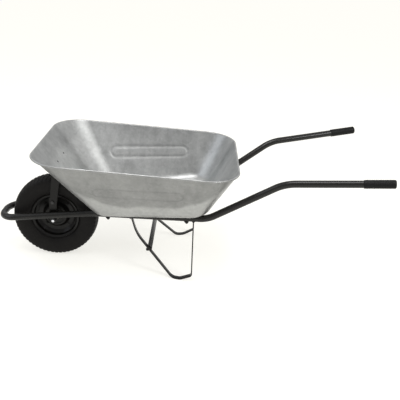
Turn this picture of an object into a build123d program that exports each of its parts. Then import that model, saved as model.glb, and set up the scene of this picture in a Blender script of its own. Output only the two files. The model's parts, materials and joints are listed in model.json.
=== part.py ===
"""Single-wheel builder's wheelbarrow: a galvanised tray bolted to one bent tube frame.

Frame of the part: +X points from the wheel to the handles, +Z is up, Z = 0 is the ground and Y = 0
is the plane of symmetry.  Somebody holding the handles looks along -X, so their left side is -Y.
All sizes are in millimetres.
"""
from build123d import *
import math
import os

# ---------------------------------------------------------------- driving dimensions
AXLE_X = -543.0            # wheel axle, along X
WHEEL_RADIUS = 180.0       # axle height above the ground
TYRE_WIDTH = 92.0

TUBE_DIAMETER = 28.0       # frame tube
TUBE_WALL = 2.0
NOSE_X = -766.0            # centreline of the loop in front of the wheel
NOSE_HALF_WIDTH = 75.0     # centreline of the two rails beside the wheel
NOSE_BEND_RADIUS = 60.0
SPREAD_X = -370.0          # where the rails start to spread
SPREAD_BEND_RADIUS = 150.0
RAIL_HEIGHT_AT_AXLE = 206.2
RAIL_RISE = 0.100          # rise of the rails per unit of length
LOWER_BEND_X = 106.0
LOWER_BEND_RADIUS = 70.0
UPPER_BEND_X = 389.0
UPPER_BEND_HALF_WIDTH = 259.0
UPPER_BEND_HEIGHT = 461.4
UPPER_BEND_RADIUS = 80.0
HANDLE_END_X = 776.0
HANDLE_END_HALF_WIDTH = 338.5
HANDLE_END_HEIGHT = 509.5

GRIP_LENGTH = 115.0
GRIP_DIAMETER = 33.5
GRIP_END_WALL = 4.0
GRIP_END_FILLET = 5.0
GRIP_MOUTH_CHAMFER = 1.0

TRAY_SHEET = 1.2
TRAY_FLOOR_FRONT_X = -354.0
TRAY_FLOOR_REAR_X = 105.0
TRAY_FLOOR_FRONT_HALF_WIDTH = 152.0
TRAY_FLOOR_REAR_HALF_WIDTH = 238.0
TRAY_FLOOR_CORNER_RADIUS = 75.0
TRAY_FLOOR_BEND_RADIUS = 42.0
RIM_FRONT_X = -583.0       # outside of the rolled rim
RIM_REAR_X = 225.0
RIM_HALF_WIDTH = 316.0
RIM_CORNER_RADIUS = 133.5
RIM_FRONT_HEIGHT = 517.6   # centre of the rolled rim
RIM_REAR_HEIGHT = 470.8
RIM_ROLL_DIAMETER = 8.0
RIM_WIRE_DIAMETER = 5.0

STRAP_WIDTH = 30.0         # axle brackets and front stay
STRAP_THICKNESS = 4.0
BRACKET_TOP_ABOVE_AXLE = 98.0
BRACKET_BOLT_ABOVE_AXLE = 80.0
STAY_FOOT_ABOVE_AXLE = 57.0
STAY_TOP_X = -515.0        # middle of the strap where it lies on the tray's front wall
STAY_BOLT_HALF_SPACING = 53.0

LEG_BAR_WIDTH = 22.0
LEG_BAR_THICKNESS = 5.0
LEG_LEAN = 0.155           # outward lean of the legs per unit of height
LEG_FRONT_TOP_X = -207.0
LEG_KNEE = (-183.0, 167.0) # X and height of the gentle bend
LEG_TOE_X = -29.0
LEG_HEEL_X = 4.0
LEG_REAR_X = 51.0
LEG_REAR_CORNER_HEIGHT = 24.0
LEG_KNEE_RADIUS = 150.0
LEG_TOE_RADIUS = 36.0
LEG_HEEL_RADIUS = 40.0
LEG_REAR_RADIUS = 13.0
CROSS_BAR_HEIGHT = 110.0
CROSS_BAR_OVERHANG = 12.0  # past the middle of each leg

TRAY_BOLT_X = (-310.0, 20.0)
TRAY_BOLT_SIZE = 8.0
STAY_BOLT_SIZE = 6.0
CROSS_BOLT_SIZE = 8.0
BRACKET_BOLT_SIZE = 8.0
RIM_BOLT_SIZE = 6.0
RIM_BOLT_CIRCLE_RADIUS = 67.0
RIM_BOLT_COUNT = 4
PLAIN_WASHER = 1.6         # thickness
TRAY_WASHER_DIAMETER = 20.0
STAY_WASHER_DIAMETER = 12.0
CROSS_WASHER_DIAMETER = 16.0
AXLE_DIAMETER = 12.0
AXLE_WASHER = 2.5
AXLE_WASHER_DIAMETER = 24.0
AXLE_NUT_HEIGHT = 12.0     # a locking nut
AXLE_THREAD_END = 4.0      # of the axle bolt, past its nut

HUB_OUTER_DIAMETER = 36.0
HUB_BORE = 26.0
HUB_LENGTH = 60.0
BUSH_LENGTH = 20.0
BUSH_FLANGE_DIAMETER = 33.0
BUSH_FLANGE = 2.5
AXLE_SPACER_DIAMETER = 20.0
RIM_SHEET = 2.0
RIM_FLANGE_RADIUS = 102.0
RIM_FLANGE_HALF_WIDTH = 32.0
BEAD_SEAT_RADIUS = 93.5
BEAD_SEAT_EDGE = 28.0      # from the mid plane to the foot of the rim flange
BEAD_SEAT_WIDTH = 16.0
BEAD_SEAT_DROP = 2.5       # the seat is lower at its inner edge
BEAD_WIDTH = 8.0
RIM_DISH_HALF_WIDTH = 20.0
RIM_DISH_RADIUS = 45.0
RIM_JOINT_INNER_RADIUS = 58.0
RIM_JOINT_OUTER_RADIUS = 76.0
RIM_BEND_RADIUS = 3.5
TYRE_CROWN_WALL = 9.0
TYRE_SIDE_WALL = 6.0
TYRE_SHOULDER = 0.90       # share of the half width
TYRE_CROWN_DROP = 9.0      # from the crown to the shoulder
TYRE_INNER_SHOULDER = 0.72
TYRE_INNER_DROP = 8.0
TYRE_LIP = (3.0, 4.0)      # the sidewall's foot, out from and above the rim flange
BEAD_HEEL_GAP = 0.6        # from the bead to the foot of the rim flange
BEAD_HEEL_TOP = 1.0        # the bead's outer face stops this far below the flange's edge
INNER_TUBE_WALL = 2.5
INNER_TUBE_CLEARANCE = 0.5
INNER_TUBE_HALF_WIDTH = 20.0
INNER_TUBE_LOW_RADIUS = 90.0
VALVE_LEAN = 0.42          # drop towards the axle per unit of length, out through the rim
VALVE_LENGTH = 47.0
VALVE_ROOT = (-4.0, 91.0)  # distance from the mid plane and radius of its inner end
VALVE_DIAMETER = 8.0
VALVE_CAP_DIAMETER = 10.0
VALVE_CAP_LENGTH = 14.0
VALVE_NECK_INSET = 1.5     # the threaded neck under the cap is this much thinner, radially
VALVE_CAP_END = 3.0

SEAT_GAP = 0.1             # between welded, pushed-on or clamped pieces
RUNNING_GAP = 0.05         # radial, bush on axle
END_FLOAT = 0.4            # axial, each side of the hub
HOLE_GAP = 0.25            # radial, bolt in hole

# proportions of fasteners, as shares of their thread diameter
ACROSS_FLATS = 1.6
HEX_HEAD_HEIGHT = 0.65
NUT_HEIGHT = 0.8
COACH_HEAD_RADIUS = 1.05
COACH_HEAD_HEIGHT = 0.5
BOLT_END_CHAMFER = 0.1
THREAD_PAST_NUT = 0.45
SHORT_THREAD_PAST_NUT = 0.3
HEX_DOME_TOP = 0.86        # of the corner radius, where the rounding of a head or nut ends
HEX_DOME_SLOPE = 1.35

# ---------------------------------------------------------------- worked-out values
TUBE_RADIUS = TUBE_DIAMETER / 2
RAIL_SLOPE = math.atan(RAIL_RISE)
SPREAD_RATE = (UPPER_BEND_HALF_WIDTH - NOSE_HALF_WIDTH) / (UPPER_BEND_X - SPREAD_X)
RIM_FALL = (RIM_FRONT_HEIGHT - RIM_REAR_HEIGHT) / (RIM_REAR_X - RIM_FRONT_X)
ROLL_RADIUS = RIM_ROLL_DIAMETER / 2
PLATE_OUTER_Y = NOSE_HALF_WIDTH - TUBE_RADIUS - SEAT_GAP
PLATE_INNER_Y = PLATE_OUTER_Y - STRAP_THICKNESS
STAY_OUTER_Y = PLATE_OUTER_Y + SEAT_GAP + STRAP_THICKNESS
REACH = 900.0              # longer than any piece that a cutting block has to pass


# ---------------------------------------------------------------- shared shapes
def rail_height(x):
    """Height of the rail centreline at x, ahead of the lower bend."""
    return RAIL_HEIGHT_AT_AXLE + RAIL_RISE * (x - AXLE_X)


def rail_offset(x):
    """Distance of the rail centreline from the plane of symmetry at x."""
    return NOSE_HALF_WIDTH + SPREAD_RATE * max(0.0, x - SPREAD_X)


def floor_height(x):
    """Height of the underside of the tray floor, which lies on both rails."""
    return rail_height(x) + (TUBE_RADIUS + SEAT_GAP) / math.cos(RAIL_SLOPE)


def rod(start, end, radius):
    """A round bar between two points."""
    a = Vector(*start)
    b = Vector(*end)
    plane = Plane(origin=a, z_dir=b - a)
    return extrude(plane * Circle(radius), (b - a).length)


def both_sides(shape):
    """The shape and its mirror image in the plane of symmetry."""
    return [shape, mirror(shape, Plane.XZ)]


def group(shapes):
    """Separate solids that are written to one file."""
    solids = []
    for shape in shapes:
        solids += list(shape.solids())
    return Compound(children=solids)


def hexagon_prism(width, height):
    """A nut or bolt-head blank on the XY plane, given across its flats."""
    corner = width / math.sqrt(3)
    blank = extrude(RegularPolygon(corner, 6), height)
    dome = Cone(
        corner * HEX_DOME_SLOPE, corner * HEX_DOME_TOP, height * HEX_DOME_SLOPE,
        align=(Align.CENTER, Align.CENTER, Align.MIN))
    return blank & dome


def hex_bolt(size, length):
    """Shank down the -Z axis from a hexagon head that sits on the XY plane."""
    head = hexagon_prism(ACROSS_FLATS * size, HEX_HEAD_HEIGHT * size)
    shank = Cylinder(size / 2, length, align=(Align.CENTER, Align.CENTER, Align.MAX))
    return head + chamfer(shank.edges().sort_by(Axis.Z)[0], size * BOLT_END_CHAMFER)


def coach_bolt(size, length):
    """A domed head on the XY plane with its shank down the -Z axis."""
    head_radius = size * COACH_HEAD_RADIUS
    head_height = size * COACH_HEAD_HEIGHT
    ball = (head_radius ** 2 + head_height ** 2) / (2 * head_height)
    dome = Pos(0, 0, head_height - ball) * Sphere(ball)
    dome &= Cylinder(2 * head_radius, 2 * head_height, align=(Align.CENTER, Align.CENTER, Align.MIN))
    shank = Cylinder(size / 2, length, align=(Align.CENTER, Align.CENTER, Align.MAX))
    return dome + chamfer(shank.edges().sort_by(Axis.Z)[0], size * BOLT_END_CHAMFER)


def hex_nut(size, height):
    """A nut that stands on the XY plane."""
    return hexagon_prism(ACROSS_FLATS * size, height) - Cylinder(size / 2 + SEAT_GAP, 4 * size)


def washer(size, thickness, diameter):
    """A flat washer that stands on the XY plane."""
    ring = Circle(diameter / 2) - Circle(size / 2 + HOLE_GAP)
    return extrude(ring, thickness)


def swept_tube(path, radius):
    """A round bar of the given radius along a path of lines and tangent arcs."""
    return sweep(Plane(origin=path @ 0, z_dir=path % 0) * Circle(radius), path)


# ---------------------------------------------------------------- frame tube and grips
def frame_path():
    """Centreline of the one bent tube, from one handle end round the nose to the other."""
    side = [
        (HANDLE_END_X, HANDLE_END_HALF_WIDTH, HANDLE_END_HEIGHT),
        (UPPER_BEND_X, UPPER_BEND_HALF_WIDTH, UPPER_BEND_HEIGHT),
        (LOWER_BEND_X, rail_offset(LOWER_BEND_X), rail_height(LOWER_BEND_X)),
        (SPREAD_X, NOSE_HALF_WIDTH, rail_height(SPREAD_X)),
        (NOSE_X, NOSE_HALF_WIDTH, rail_height(NOSE_X)),
    ]
    other = [(x, -y, z) for x, y, z in reversed(side)]
    bends = [UPPER_BEND_RADIUS, LOWER_BEND_RADIUS, SPREAD_BEND_RADIUS, NOSE_BEND_RADIUS]
    return FilletPolyline(*side, *other, radius=bends + bends[::-1])


def tray_bolt_planes():
    """Planes on the tray floor's underside, at the four bolts through floor and rails."""
    planes = []
    for x in TRAY_BOLT_X:
        for side in (-1, 1):
            point = (x, side * rail_offset(x), floor_height(x))
            planes.append(Plane(origin=point, x_dir=(1, 0, RAIL_RISE), z_dir=(-RAIL_RISE, 0, 1)))
    return planes


def make_frame_tube():
    path = frame_path()
    tube = swept_tube(path, TUBE_RADIUS) - swept_tube(path, TUBE_RADIUS - TUBE_WALL)
    hole = Cylinder(TRAY_BOLT_SIZE / 2 + HOLE_GAP, 4 * TUBE_DIAMETER)
    for plane in tray_bolt_planes():
        tube -= plane * hole
    return tube


def make_grip(side):
    """A soft sleeve with a closed, rounded end, pushed over the end of one handle."""
    end = Vector(HANDLE_END_X, side * HANDLE_END_HALF_WIDTH, HANDLE_END_HEIGHT)
    bend = Vector(UPPER_BEND_X, side * UPPER_BEND_HALF_WIDTH, UPPER_BEND_HEIGHT)
    along = (end - bend).normalized()
    start = end - along * (GRIP_LENGTH - GRIP_END_WALL)
    plane = Plane(origin=start, z_dir=along)
    body = extrude(Circle(GRIP_DIAMETER / 2), GRIP_LENGTH)
    body = fillet(body.edges().sort_by(Axis.Z)[-1], GRIP_END_FILLET)
    body = chamfer(body.edges().sort_by(Axis.Z)[0], GRIP_MOUTH_CHAMFER)
    bore = extrude(Circle(TUBE_RADIUS + SEAT_GAP), GRIP_LENGTH - GRIP_END_WALL)
    return plane * (body - bore)


# ---------------------------------------------------------------- tray
def rim_plane():
    """The plane of the rim's centreline, over the front edge and parallel to Y."""
    front = (RIM_FRONT_X, 0, RIM_FRONT_HEIGHT)
    return Plane(origin=front, x_dir=(1, 0, -RIM_FALL), z_dir=(RIM_FALL, 0, 1))


def floor_plane():
    """The plane of the tray floor's underside, over the floor's front edge."""
    front = (TRAY_FLOOR_FRONT_X, 0, floor_height(TRAY_FLOOR_FRONT_X))
    return Plane(origin=front, x_dir=(1, 0, RAIL_RISE), z_dir=(-RAIL_RISE, 0, 1))


def rounded_outline(front, rear, front_half, rear_half, radius):
    """A rounded rectangle or trapezium in local coordinates, with its ends across local X."""
    corners = [(front, -front_half), (rear, -rear_half), (rear, rear_half), (front, front_half)]
    return fillet(make_face(Polyline(*corners, close=True)).vertices(), radius)


def tray_block(inset, lift):
    """The solid that the tray would fill, drawn in by inset and with its floor raised by lift."""
    floor_length = (TRAY_FLOOR_REAR_X - TRAY_FLOOR_FRONT_X) / math.cos(RAIL_SLOPE)
    rim_length = (RIM_REAR_X - RIM_FRONT_X) / math.cos(math.atan(RIM_FALL))
    floor_face = rounded_outline(
        inset, floor_length - inset, TRAY_FLOOR_FRONT_HALF_WIDTH - inset,
        TRAY_FLOOR_REAR_HALF_WIDTH - inset, TRAY_FLOOR_CORNER_RADIUS - inset)
    edge = ROLL_RADIUS + inset
    half = RIM_HALF_WIDTH - edge
    rim_face = rounded_outline(edge, rim_length - edge, half, half, RIM_CORNER_RADIUS - edge)
    low = floor_plane() * floor_face
    high = rim_plane() * rim_face
    block = loft([low.face(), high.face()], ruled=True)
    floor_edges = block.faces().sort_by(Axis.Z)[0].edges()
    block = fillet(floor_edges, TRAY_FLOOR_BEND_RADIUS - inset)
    if lift:
        keep = floor_plane() * Pos(0, 0, lift) * Box(
            4 * REACH, 4 * REACH, REACH, align=(Align.CENTER, Align.CENTER, Align.MIN))
        block &= keep
    return block


def rim_path():
    """Centreline of the rolled rim: a closed rounded rectangle."""
    rim_length = (RIM_REAR_X - RIM_FRONT_X) / math.cos(math.atan(RIM_FALL))
    half = RIM_HALF_WIDTH - ROLL_RADIUS
    outline = rounded_outline(
        ROLL_RADIUS, rim_length - ROLL_RADIUS, half, half, RIM_CORNER_RADIUS - ROLL_RADIUS)
    return (rim_plane() * outline).face().outer_wire()


def make_tray():
    wall = TRAY_SHEET
    shell = tray_block(0.0, 0.0) - tray_block(wall, wall)
    path = rim_path()
    bead = swept_tube(path, ROLL_RADIUS)
    core = swept_tube(path, RIM_WIRE_DIAMETER / 2 + SEAT_GAP)
    tray = (shell + bead) - core
    hole = Cylinder(TRAY_BOLT_SIZE / 2 + HOLE_GAP, 4 * TUBE_DIAMETER)
    for plane in tray_bolt_planes():
        tray -= plane * hole
    stay_hole = Cylinder(STAY_BOLT_SIZE / 2 + HOLE_GAP, 4 * TUBE_DIAMETER)
    for plane in stay_bolt_planes():
        tray -= plane * stay_hole
    return tray


def make_rim_wire():
    return swept_tube(rim_path(), RIM_WIRE_DIAMETER / 2)


# ---------------------------------------------------------------- axle brackets and front stay
def front_wall_line():
    """Two points (x, z) on the outside of the tray's front wall, low and high."""
    low = (TRAY_FLOOR_FRONT_X, floor_height(TRAY_FLOOR_FRONT_X))
    high = (RIM_FRONT_X + ROLL_RADIUS, RIM_FRONT_HEIGHT - RIM_FALL * ROLL_RADIUS)
    return low, high


def front_wall_height(x):
    """Height of the outside of the front wall at x."""
    low, high = front_wall_line()
    share = (x - low[0]) / (high[0] - low[0])
    return low[1] + share * (high[1] - low[1])


def front_wall_slope():
    """Unit vectors (x, z) along the front wall, upwards, and out of the tray."""
    low, high = front_wall_line()
    length = math.hypot(high[0] - low[0], high[1] - low[1])
    up = ((high[0] - low[0]) / length, (high[1] - low[1]) / length)
    return up, (-up[1], up[0])


def stay_bolt_planes():
    """Planes on the outside of the front wall, facing into the tray, at the two stay bolts."""
    up, out = front_wall_slope()
    planes = []
    for side in (-1, 1):
        point = (STAY_TOP_X, side * STAY_BOLT_HALF_SPACING, front_wall_height(STAY_TOP_X))
        planes.append(Plane(origin=point, x_dir=(0, 1, 0), z_dir=(-out[0], 0, -out[1])))
    return planes


def upright_plate(low_z, high_points, inner_y, outer_y):
    """A vertical plate across Y whose top edge runs through two (x, z) points."""
    left = AXLE_X - STRAP_WIDTH / 2
    right = AXLE_X + STRAP_WIDTH / 2
    outline = Polyline((left, low_z), (right, low_z), high_points[1], high_points[0], close=True)
    plate = extrude(Plane.XZ * make_face(outline), outer_y - inner_y)
    return Pos(0, outer_y, 0) * plate


def make_axle_bracket(side):
    """A flat plate on the inside of the rail, with the axle hole below and a bolt hole above."""
    top = WHEEL_RADIUS + BRACKET_TOP_ABOVE_AXLE
    left = AXLE_X - STRAP_WIDTH / 2
    right = AXLE_X + STRAP_WIDTH / 2
    plate = upright_plate(WHEEL_RADIUS, [(left, top), (right, top)], PLATE_INNER_Y, PLATE_OUTER_Y)
    across = Rot(90, 0, 0)
    middle_y = (PLATE_INNER_Y + PLATE_OUTER_Y) / 2
    eye = Pos(AXLE_X, middle_y, WHEEL_RADIUS) * across * Cylinder(STRAP_WIDTH / 2, STRAP_THICKNESS)
    plate += eye
    axle_hole = Cylinder(AXLE_DIAMETER / 2 + SEAT_GAP, 4 * STRAP_THICKNESS)
    plate -= Pos(AXLE_X, middle_y, WHEEL_RADIUS) * across * axle_hole
    bolt_hole = Cylinder(BRACKET_BOLT_SIZE / 2 + HOLE_GAP, 4 * STRAP_THICKNESS)
    plate -= Pos(AXLE_X, middle_y, WHEEL_RADIUS + BRACKET_BOLT_ABOVE_AXLE) * across * bolt_hole
    return plate if side > 0 else mirror(plate, Plane.XZ)


def make_front_stay():
    """An upside-down U of flat strip: two uprights and a top that lies on the tray's front wall."""
    up, out = front_wall_slope()
    gap = (out[0] * SEAT_GAP, out[1] * SEAT_GAP)
    drop = (out[0] * (STRAP_THICKNESS + SEAT_GAP), out[1] * (STRAP_THICKNESS + SEAT_GAP))
    ends = [STAY_TOP_X - STRAP_WIDTH / 2, STAY_TOP_X + STRAP_WIDTH / 2]
    inner = [(x + gap[0], front_wall_height(x) + gap[1]) for x in ends]
    outer = [(x + drop[0], front_wall_height(x) + drop[1]) for x in ends]
    strip = make_face(Polyline(inner[0], inner[1], outer[1], outer[0], close=True))
    top = Pos(0, STAY_OUTER_Y, 0) * extrude(Plane.XZ * strip, 2 * STAY_OUTER_Y)
    foot = WHEEL_RADIUS + STAY_FOOT_ABOVE_AXLE
    leg_top = [(x, front_wall_height(x) - 0.5 * STRAP_THICKNESS - SEAT_GAP) for x in ends]
    leg = upright_plate(foot, leg_top, STAY_OUTER_Y - STRAP_THICKNESS, STAY_OUTER_Y)
    stay = top
    for upright in both_sides(leg):
        stay += upright
    bolt = WHEEL_RADIUS + BRACKET_BOLT_ABOVE_AXLE
    across = Pos(AXLE_X, 0, bolt) * Rot(90, 0, 0)
    stay -= across * Cylinder(BRACKET_BOLT_SIZE / 2 + HOLE_GAP, 3 * STAY_OUTER_Y)
    hole = Cylinder(STAY_BOLT_SIZE / 2 + HOLE_GAP, 4 * STRAP_THICKNESS)
    for plane in stay_bolt_planes():
        stay -= plane * hole
    return stay


# ---------------------------------------------------------------- legs
def leg_outline():
    """Side view of one leg: the bent flat bar seen along its width."""
    toe_z = LEG_BAR_THICKNESS / 2
    points = [
        (LEG_FRONT_TOP_X, rail_height(LEG_FRONT_TOP_X)),
        LEG_KNEE,
        (LEG_TOE_X, toe_z),
        (LEG_HEEL_X, toe_z),
        (LEG_REAR_X, LEG_REAR_CORNER_HEIGHT),
        (LEG_REAR_X, rail_height(LEG_REAR_X)),
    ]
    radii = [LEG_KNEE_RADIUS, LEG_TOE_RADIUS, LEG_HEEL_RADIUS, LEG_REAR_RADIUS]
    return trace(FilletPolyline(*points, radius=radii), line_width=LEG_BAR_THICKNESS)


def leg_offset(x, z):
    """Distance of the middle of a leg from the plane of symmetry at a height and a length."""
    return rail_offset(x) + LEG_LEAN * (rail_height(x) - z)


def leg_slab():
    """The leaning slab of space, one bar width thick, that the bar of the left-hand leg fills."""
    origin = Vector(0, leg_offset(0, 0), 0)
    along = Vector(1, leg_offset(1, 0) - leg_offset(0, 0), 0)
    upward = Vector(0, leg_offset(0, 1) - leg_offset(0, 0), 1)
    normal = upward.cross(along).normalized()
    thickness = LEG_BAR_WIDTH * abs(normal.Y)
    plane = Plane(origin=origin, x_dir=along, z_dir=normal)
    return plane * Box(4 * REACH, 4 * REACH, thickness)


def make_leg(side):
    bar = extrude(Plane.XZ * leg_outline(), REACH, both=True)
    leg = bar & leg_slab()
    rail = rod(
        (AXLE_X, leg_rail_y(AXLE_X), rail_height(AXLE_X)),
        (LOWER_BEND_X + TUBE_DIAMETER, leg_rail_y(LOWER_BEND_X + TUBE_DIAMETER),
         rail_height(LOWER_BEND_X + TUBE_DIAMETER)),
        TUBE_RADIUS + SEAT_GAP)
    above = floor_plane() * Pos(0, 0, -TUBE_RADIUS) * Box(
        4 * REACH, 4 * REACH, REACH, align=(Align.CENTER, Align.CENTER, Align.MIN))
    leg = leg - rail - above
    leg = leg.solids().sort_by(SortBy.VOLUME)[-1]
    return leg if side > 0 else mirror(leg, Plane.XZ)


def leg_rail_y(x):
    """The rail's centreline as one straight line, as it runs over the legs."""
    return NOSE_HALF_WIDTH + SPREAD_RATE * (x - SPREAD_X)


def slant():
    """Unit vectors (x, z) of the leg's slanting run, downwards, and its normal, up and back."""
    dx = LEG_TOE_X - LEG_KNEE[0]
    dz = LEG_BAR_THICKNESS / 2 - LEG_KNEE[1]
    length = math.hypot(dx, dz)
    return (dx / length, dz / length), (-dz / length, dx / length)


def cross_bar_centre():
    """Point (x, z) in the middle of the leg bar under the cross bar."""
    down, _ = slant()
    share = (CROSS_BAR_HEIGHT - LEG_KNEE[1]) / down[1]
    return LEG_KNEE[0] + share * down[0], CROSS_BAR_HEIGHT


def cross_bolt_planes():
    """Planes on the middle of the leg bar, facing up and back, at the two cross-bar bolts."""
    _, normal = slant()
    x, z = cross_bar_centre()
    planes = []
    for side in (-1, 1):
        point = (x, side * leg_offset(x, z), z)
        planes.append(Plane(origin=point, x_dir=(0, 1, 0), z_dir=(normal[0], 0, normal[1])))
    return planes


def make_cross_bar():
    """A flat bar that lies on the slanting runs of both legs."""
    x, z = cross_bar_centre()
    _, normal = slant()
    length = 2 * (leg_offset(x, z) + CROSS_BAR_OVERHANG)
    plane = Plane(origin=(x, 0, z), x_dir=(0, 1, 0), z_dir=(normal[0], 0, normal[1]))
    seat = LEG_BAR_THICKNESS / 2 + SEAT_GAP
    bar = plane * Pos(0, 0, seat) * Box(
        length, LEG_BAR_WIDTH, LEG_BAR_THICKNESS, align=(Align.CENTER, Align.CENTER, Align.MIN))
    hole = Cylinder(CROSS_BOLT_SIZE / 2 + HOLE_GAP, 8 * LEG_BAR_THICKNESS)
    for bolt_plane in cross_bolt_planes():
        bar -= bolt_plane * hole
    return bar


def drill_leg(leg):
    """The leg with the hole for its cross-bar bolt."""
    hole = Cylinder(CROSS_BOLT_SIZE / 2 + HOLE_GAP, 8 * LEG_BAR_THICKNESS)
    for plane in cross_bolt_planes():
        leg -= plane * hole
    return leg


# ---------------------------------------------------------------- fasteners of the frame
def bolted_joint(planes, top, bottom, bolt, size, washer_size):
    """Bolts, washers and nuts on planes: the grip runs from bottom to top along each normal."""
    thickness, diameter = washer_size
    nut_base = bottom - thickness
    length = top - nut_base + (NUT_HEIGHT + THREAD_PAST_NUT) * size
    bolts = [p * Pos(0, 0, top) * bolt(size, length) for p in planes]
    nut = hex_nut(size, NUT_HEIGHT * size)
    ring = washer(size, thickness, diameter)
    washers = [p * Pos(0, 0, nut_base) * ring for p in planes]
    nuts = [p * Pos(0, 0, nut_base) * Rot(180, 0, 0) * nut for p in planes]
    return group(bolts), group(washers), group(nuts)


def make_tray_fasteners():
    bottom = -(TUBE_DIAMETER + SEAT_GAP)
    return bolted_joint(
        tray_bolt_planes(), TRAY_SHEET, bottom, coach_bolt, TRAY_BOLT_SIZE,
        (PLAIN_WASHER, TRAY_WASHER_DIAMETER))


def make_stay_fasteners():
    bottom = -(STRAP_THICKNESS + SEAT_GAP)
    return bolted_joint(
        stay_bolt_planes(), TRAY_SHEET, bottom, coach_bolt, STAY_BOLT_SIZE,
        (PLAIN_WASHER, STAY_WASHER_DIAMETER))


def make_cross_bar_fasteners():
    top = 1.5 * LEG_BAR_THICKNESS + SEAT_GAP
    return bolted_joint(
        cross_bolt_planes(), top, -LEG_BAR_THICKNESS / 2, hex_bolt, CROSS_BOLT_SIZE,
        (PLAIN_WASHER, CROSS_WASHER_DIAMETER))


def bracket_bolt_planes():
    """Planes on the inside of the axle brackets, facing outwards."""
    height = WHEEL_RADIUS + BRACKET_BOLT_ABOVE_AXLE
    left = Plane(origin=(AXLE_X, PLATE_INNER_Y, height), x_dir=(1, 0, 0), z_dir=(0, 1, 0))
    right = Plane(origin=(AXLE_X, -PLATE_INNER_Y, height), x_dir=(1, 0, 0), z_dir=(0, -1, 0))
    return [left, right]


def make_bracket_fasteners():
    """Short bolts from the outside: their ends stay clear of the tyre."""
    grip = STAY_OUTER_Y - PLATE_INNER_Y
    planes = bracket_bolt_planes()
    length = grip + NUT_HEIGHT * BRACKET_BOLT_SIZE
    nut = hex_nut(BRACKET_BOLT_SIZE, NUT_HEIGHT * BRACKET_BOLT_SIZE)
    bolts = [p * Pos(0, 0, grip) * hex_bolt(BRACKET_BOLT_SIZE, length) for p in planes]
    nuts = [p * Rot(180, 0, 0) * nut for p in planes]
    return group(bolts), group(nuts)


# ---------------------------------------------------------------- axle
def axle_plane(offset, facing):
    """A plane across the axle at a distance from the plane of symmetry."""
    return Plane(origin=(AXLE_X, offset, WHEEL_RADIUS), x_dir=(1, 0, 0), z_dir=(0, facing, 0))


def make_axle():
    """A long hexagon bolt from the +Y side, with a washer at each bracket and a locking nut."""
    seat = PLATE_OUTER_Y + AXLE_WASHER
    length = 2 * seat + AXLE_NUT_HEIGHT + AXLE_THREAD_END
    bolt = axle_plane(seat, 1) * hex_bolt(AXLE_DIAMETER, length)
    nut = axle_plane(-seat, -1) * hex_nut(AXLE_DIAMETER, AXLE_NUT_HEIGHT)
    ring = washer(AXLE_DIAMETER, AXLE_WASHER, AXLE_WASHER_DIAMETER)
    washers = [axle_plane(side * PLATE_OUTER_Y, side) * ring for side in (-1, 1)]
    return bolt, group(washers), nut


def make_axle_spacers():
    """Sleeves that keep the hub in the middle between the brackets."""
    inner = HUB_LENGTH / 2 + BUSH_FLANGE + END_FLOAT
    ring = Circle(AXLE_SPACER_DIAMETER / 2) - Circle(AXLE_DIAMETER / 2 + SEAT_GAP)
    sleeve = extrude(ring, PLATE_INNER_Y - inner)
    return group([axle_plane(side * inner, side) * sleeve for side in (-1, 1)])


# ---------------------------------------------------------------- wheel
def turned(profile):
    """Spin a profile drawn as (distance from the mid plane, radius) about the axle."""
    face = Plane(origin=(AXLE_X, 0, WHEEL_RADIUS), x_dir=(0, 1, 0), z_dir=(1, 0, 0)) * profile
    return revolve(face, Axis((AXLE_X, 0, WHEEL_RADIUS), (0, 1, 0)), 360)


def make_hub_tube():
    length = HUB_LENGTH
    wall = (HUB_OUTER_DIAMETER - HUB_BORE) / 2
    middle = (HUB_OUTER_DIAMETER + HUB_BORE) / 4
    return turned(Pos(0, middle) * Rectangle(length, wall))


def make_hub_bush(side):
    """A flanged plain bearing pushed into one end of the hub."""
    bore = AXLE_DIAMETER / 2 + RUNNING_GAP
    outer = HUB_BORE / 2 - RUNNING_GAP
    end = HUB_LENGTH / 2
    sleeve = [(end - BUSH_LENGTH, bore), (end + BUSH_FLANGE, bore)]
    flange = [(end + BUSH_FLANGE, BUSH_FLANGE_DIAMETER / 2), (end, BUSH_FLANGE_DIAMETER / 2)]
    body = [(end, outer), (end - BUSH_LENGTH, outer)]
    bush = turned(make_face(Polyline(*sleeve, *flange, *body, close=True)))
    return bush if side > 0 else mirror(bush, Plane.XZ)


def rim_profile():
    """Section of one pressed rim half on the +Y side."""
    half = RIM_SHEET / 2
    points = [
        (RIM_DISH_HALF_WIDTH, HUB_OUTER_DIAMETER / 2 + SEAT_GAP),
        (RIM_DISH_HALF_WIDTH, RIM_DISH_RADIUS),
        (half + SEAT_GAP / 2, RIM_JOINT_INNER_RADIUS),
        (half + SEAT_GAP / 2, RIM_JOINT_OUTER_RADIUS),
        (BEAD_SEAT_EDGE - BEAD_SEAT_WIDTH, BEAD_SEAT_RADIUS - BEAD_SEAT_DROP),
        (BEAD_SEAT_EDGE, BEAD_SEAT_RADIUS),
        (RIM_FLANGE_HALF_WIDTH, RIM_FLANGE_RADIUS),
    ]
    return trace(FilletPolyline(*points, radius=RIM_BEND_RADIUS), line_width=RIM_SHEET)


def rim_bolt_planes():
    """Planes on the wheel's mid plane at the bolts that clamp the rim halves."""
    planes = []
    for index in range(RIM_BOLT_COUNT):
        angle = math.radians(45 + 360 * index / RIM_BOLT_COUNT)
        x = AXLE_X + RIM_BOLT_CIRCLE_RADIUS * math.cos(angle)
        z = WHEEL_RADIUS + RIM_BOLT_CIRCLE_RADIUS * math.sin(angle)
        planes.append(Plane(origin=(x, 0, z), x_dir=(1, 0, 0), z_dir=(0, -1, 0)))
    return planes


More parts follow.
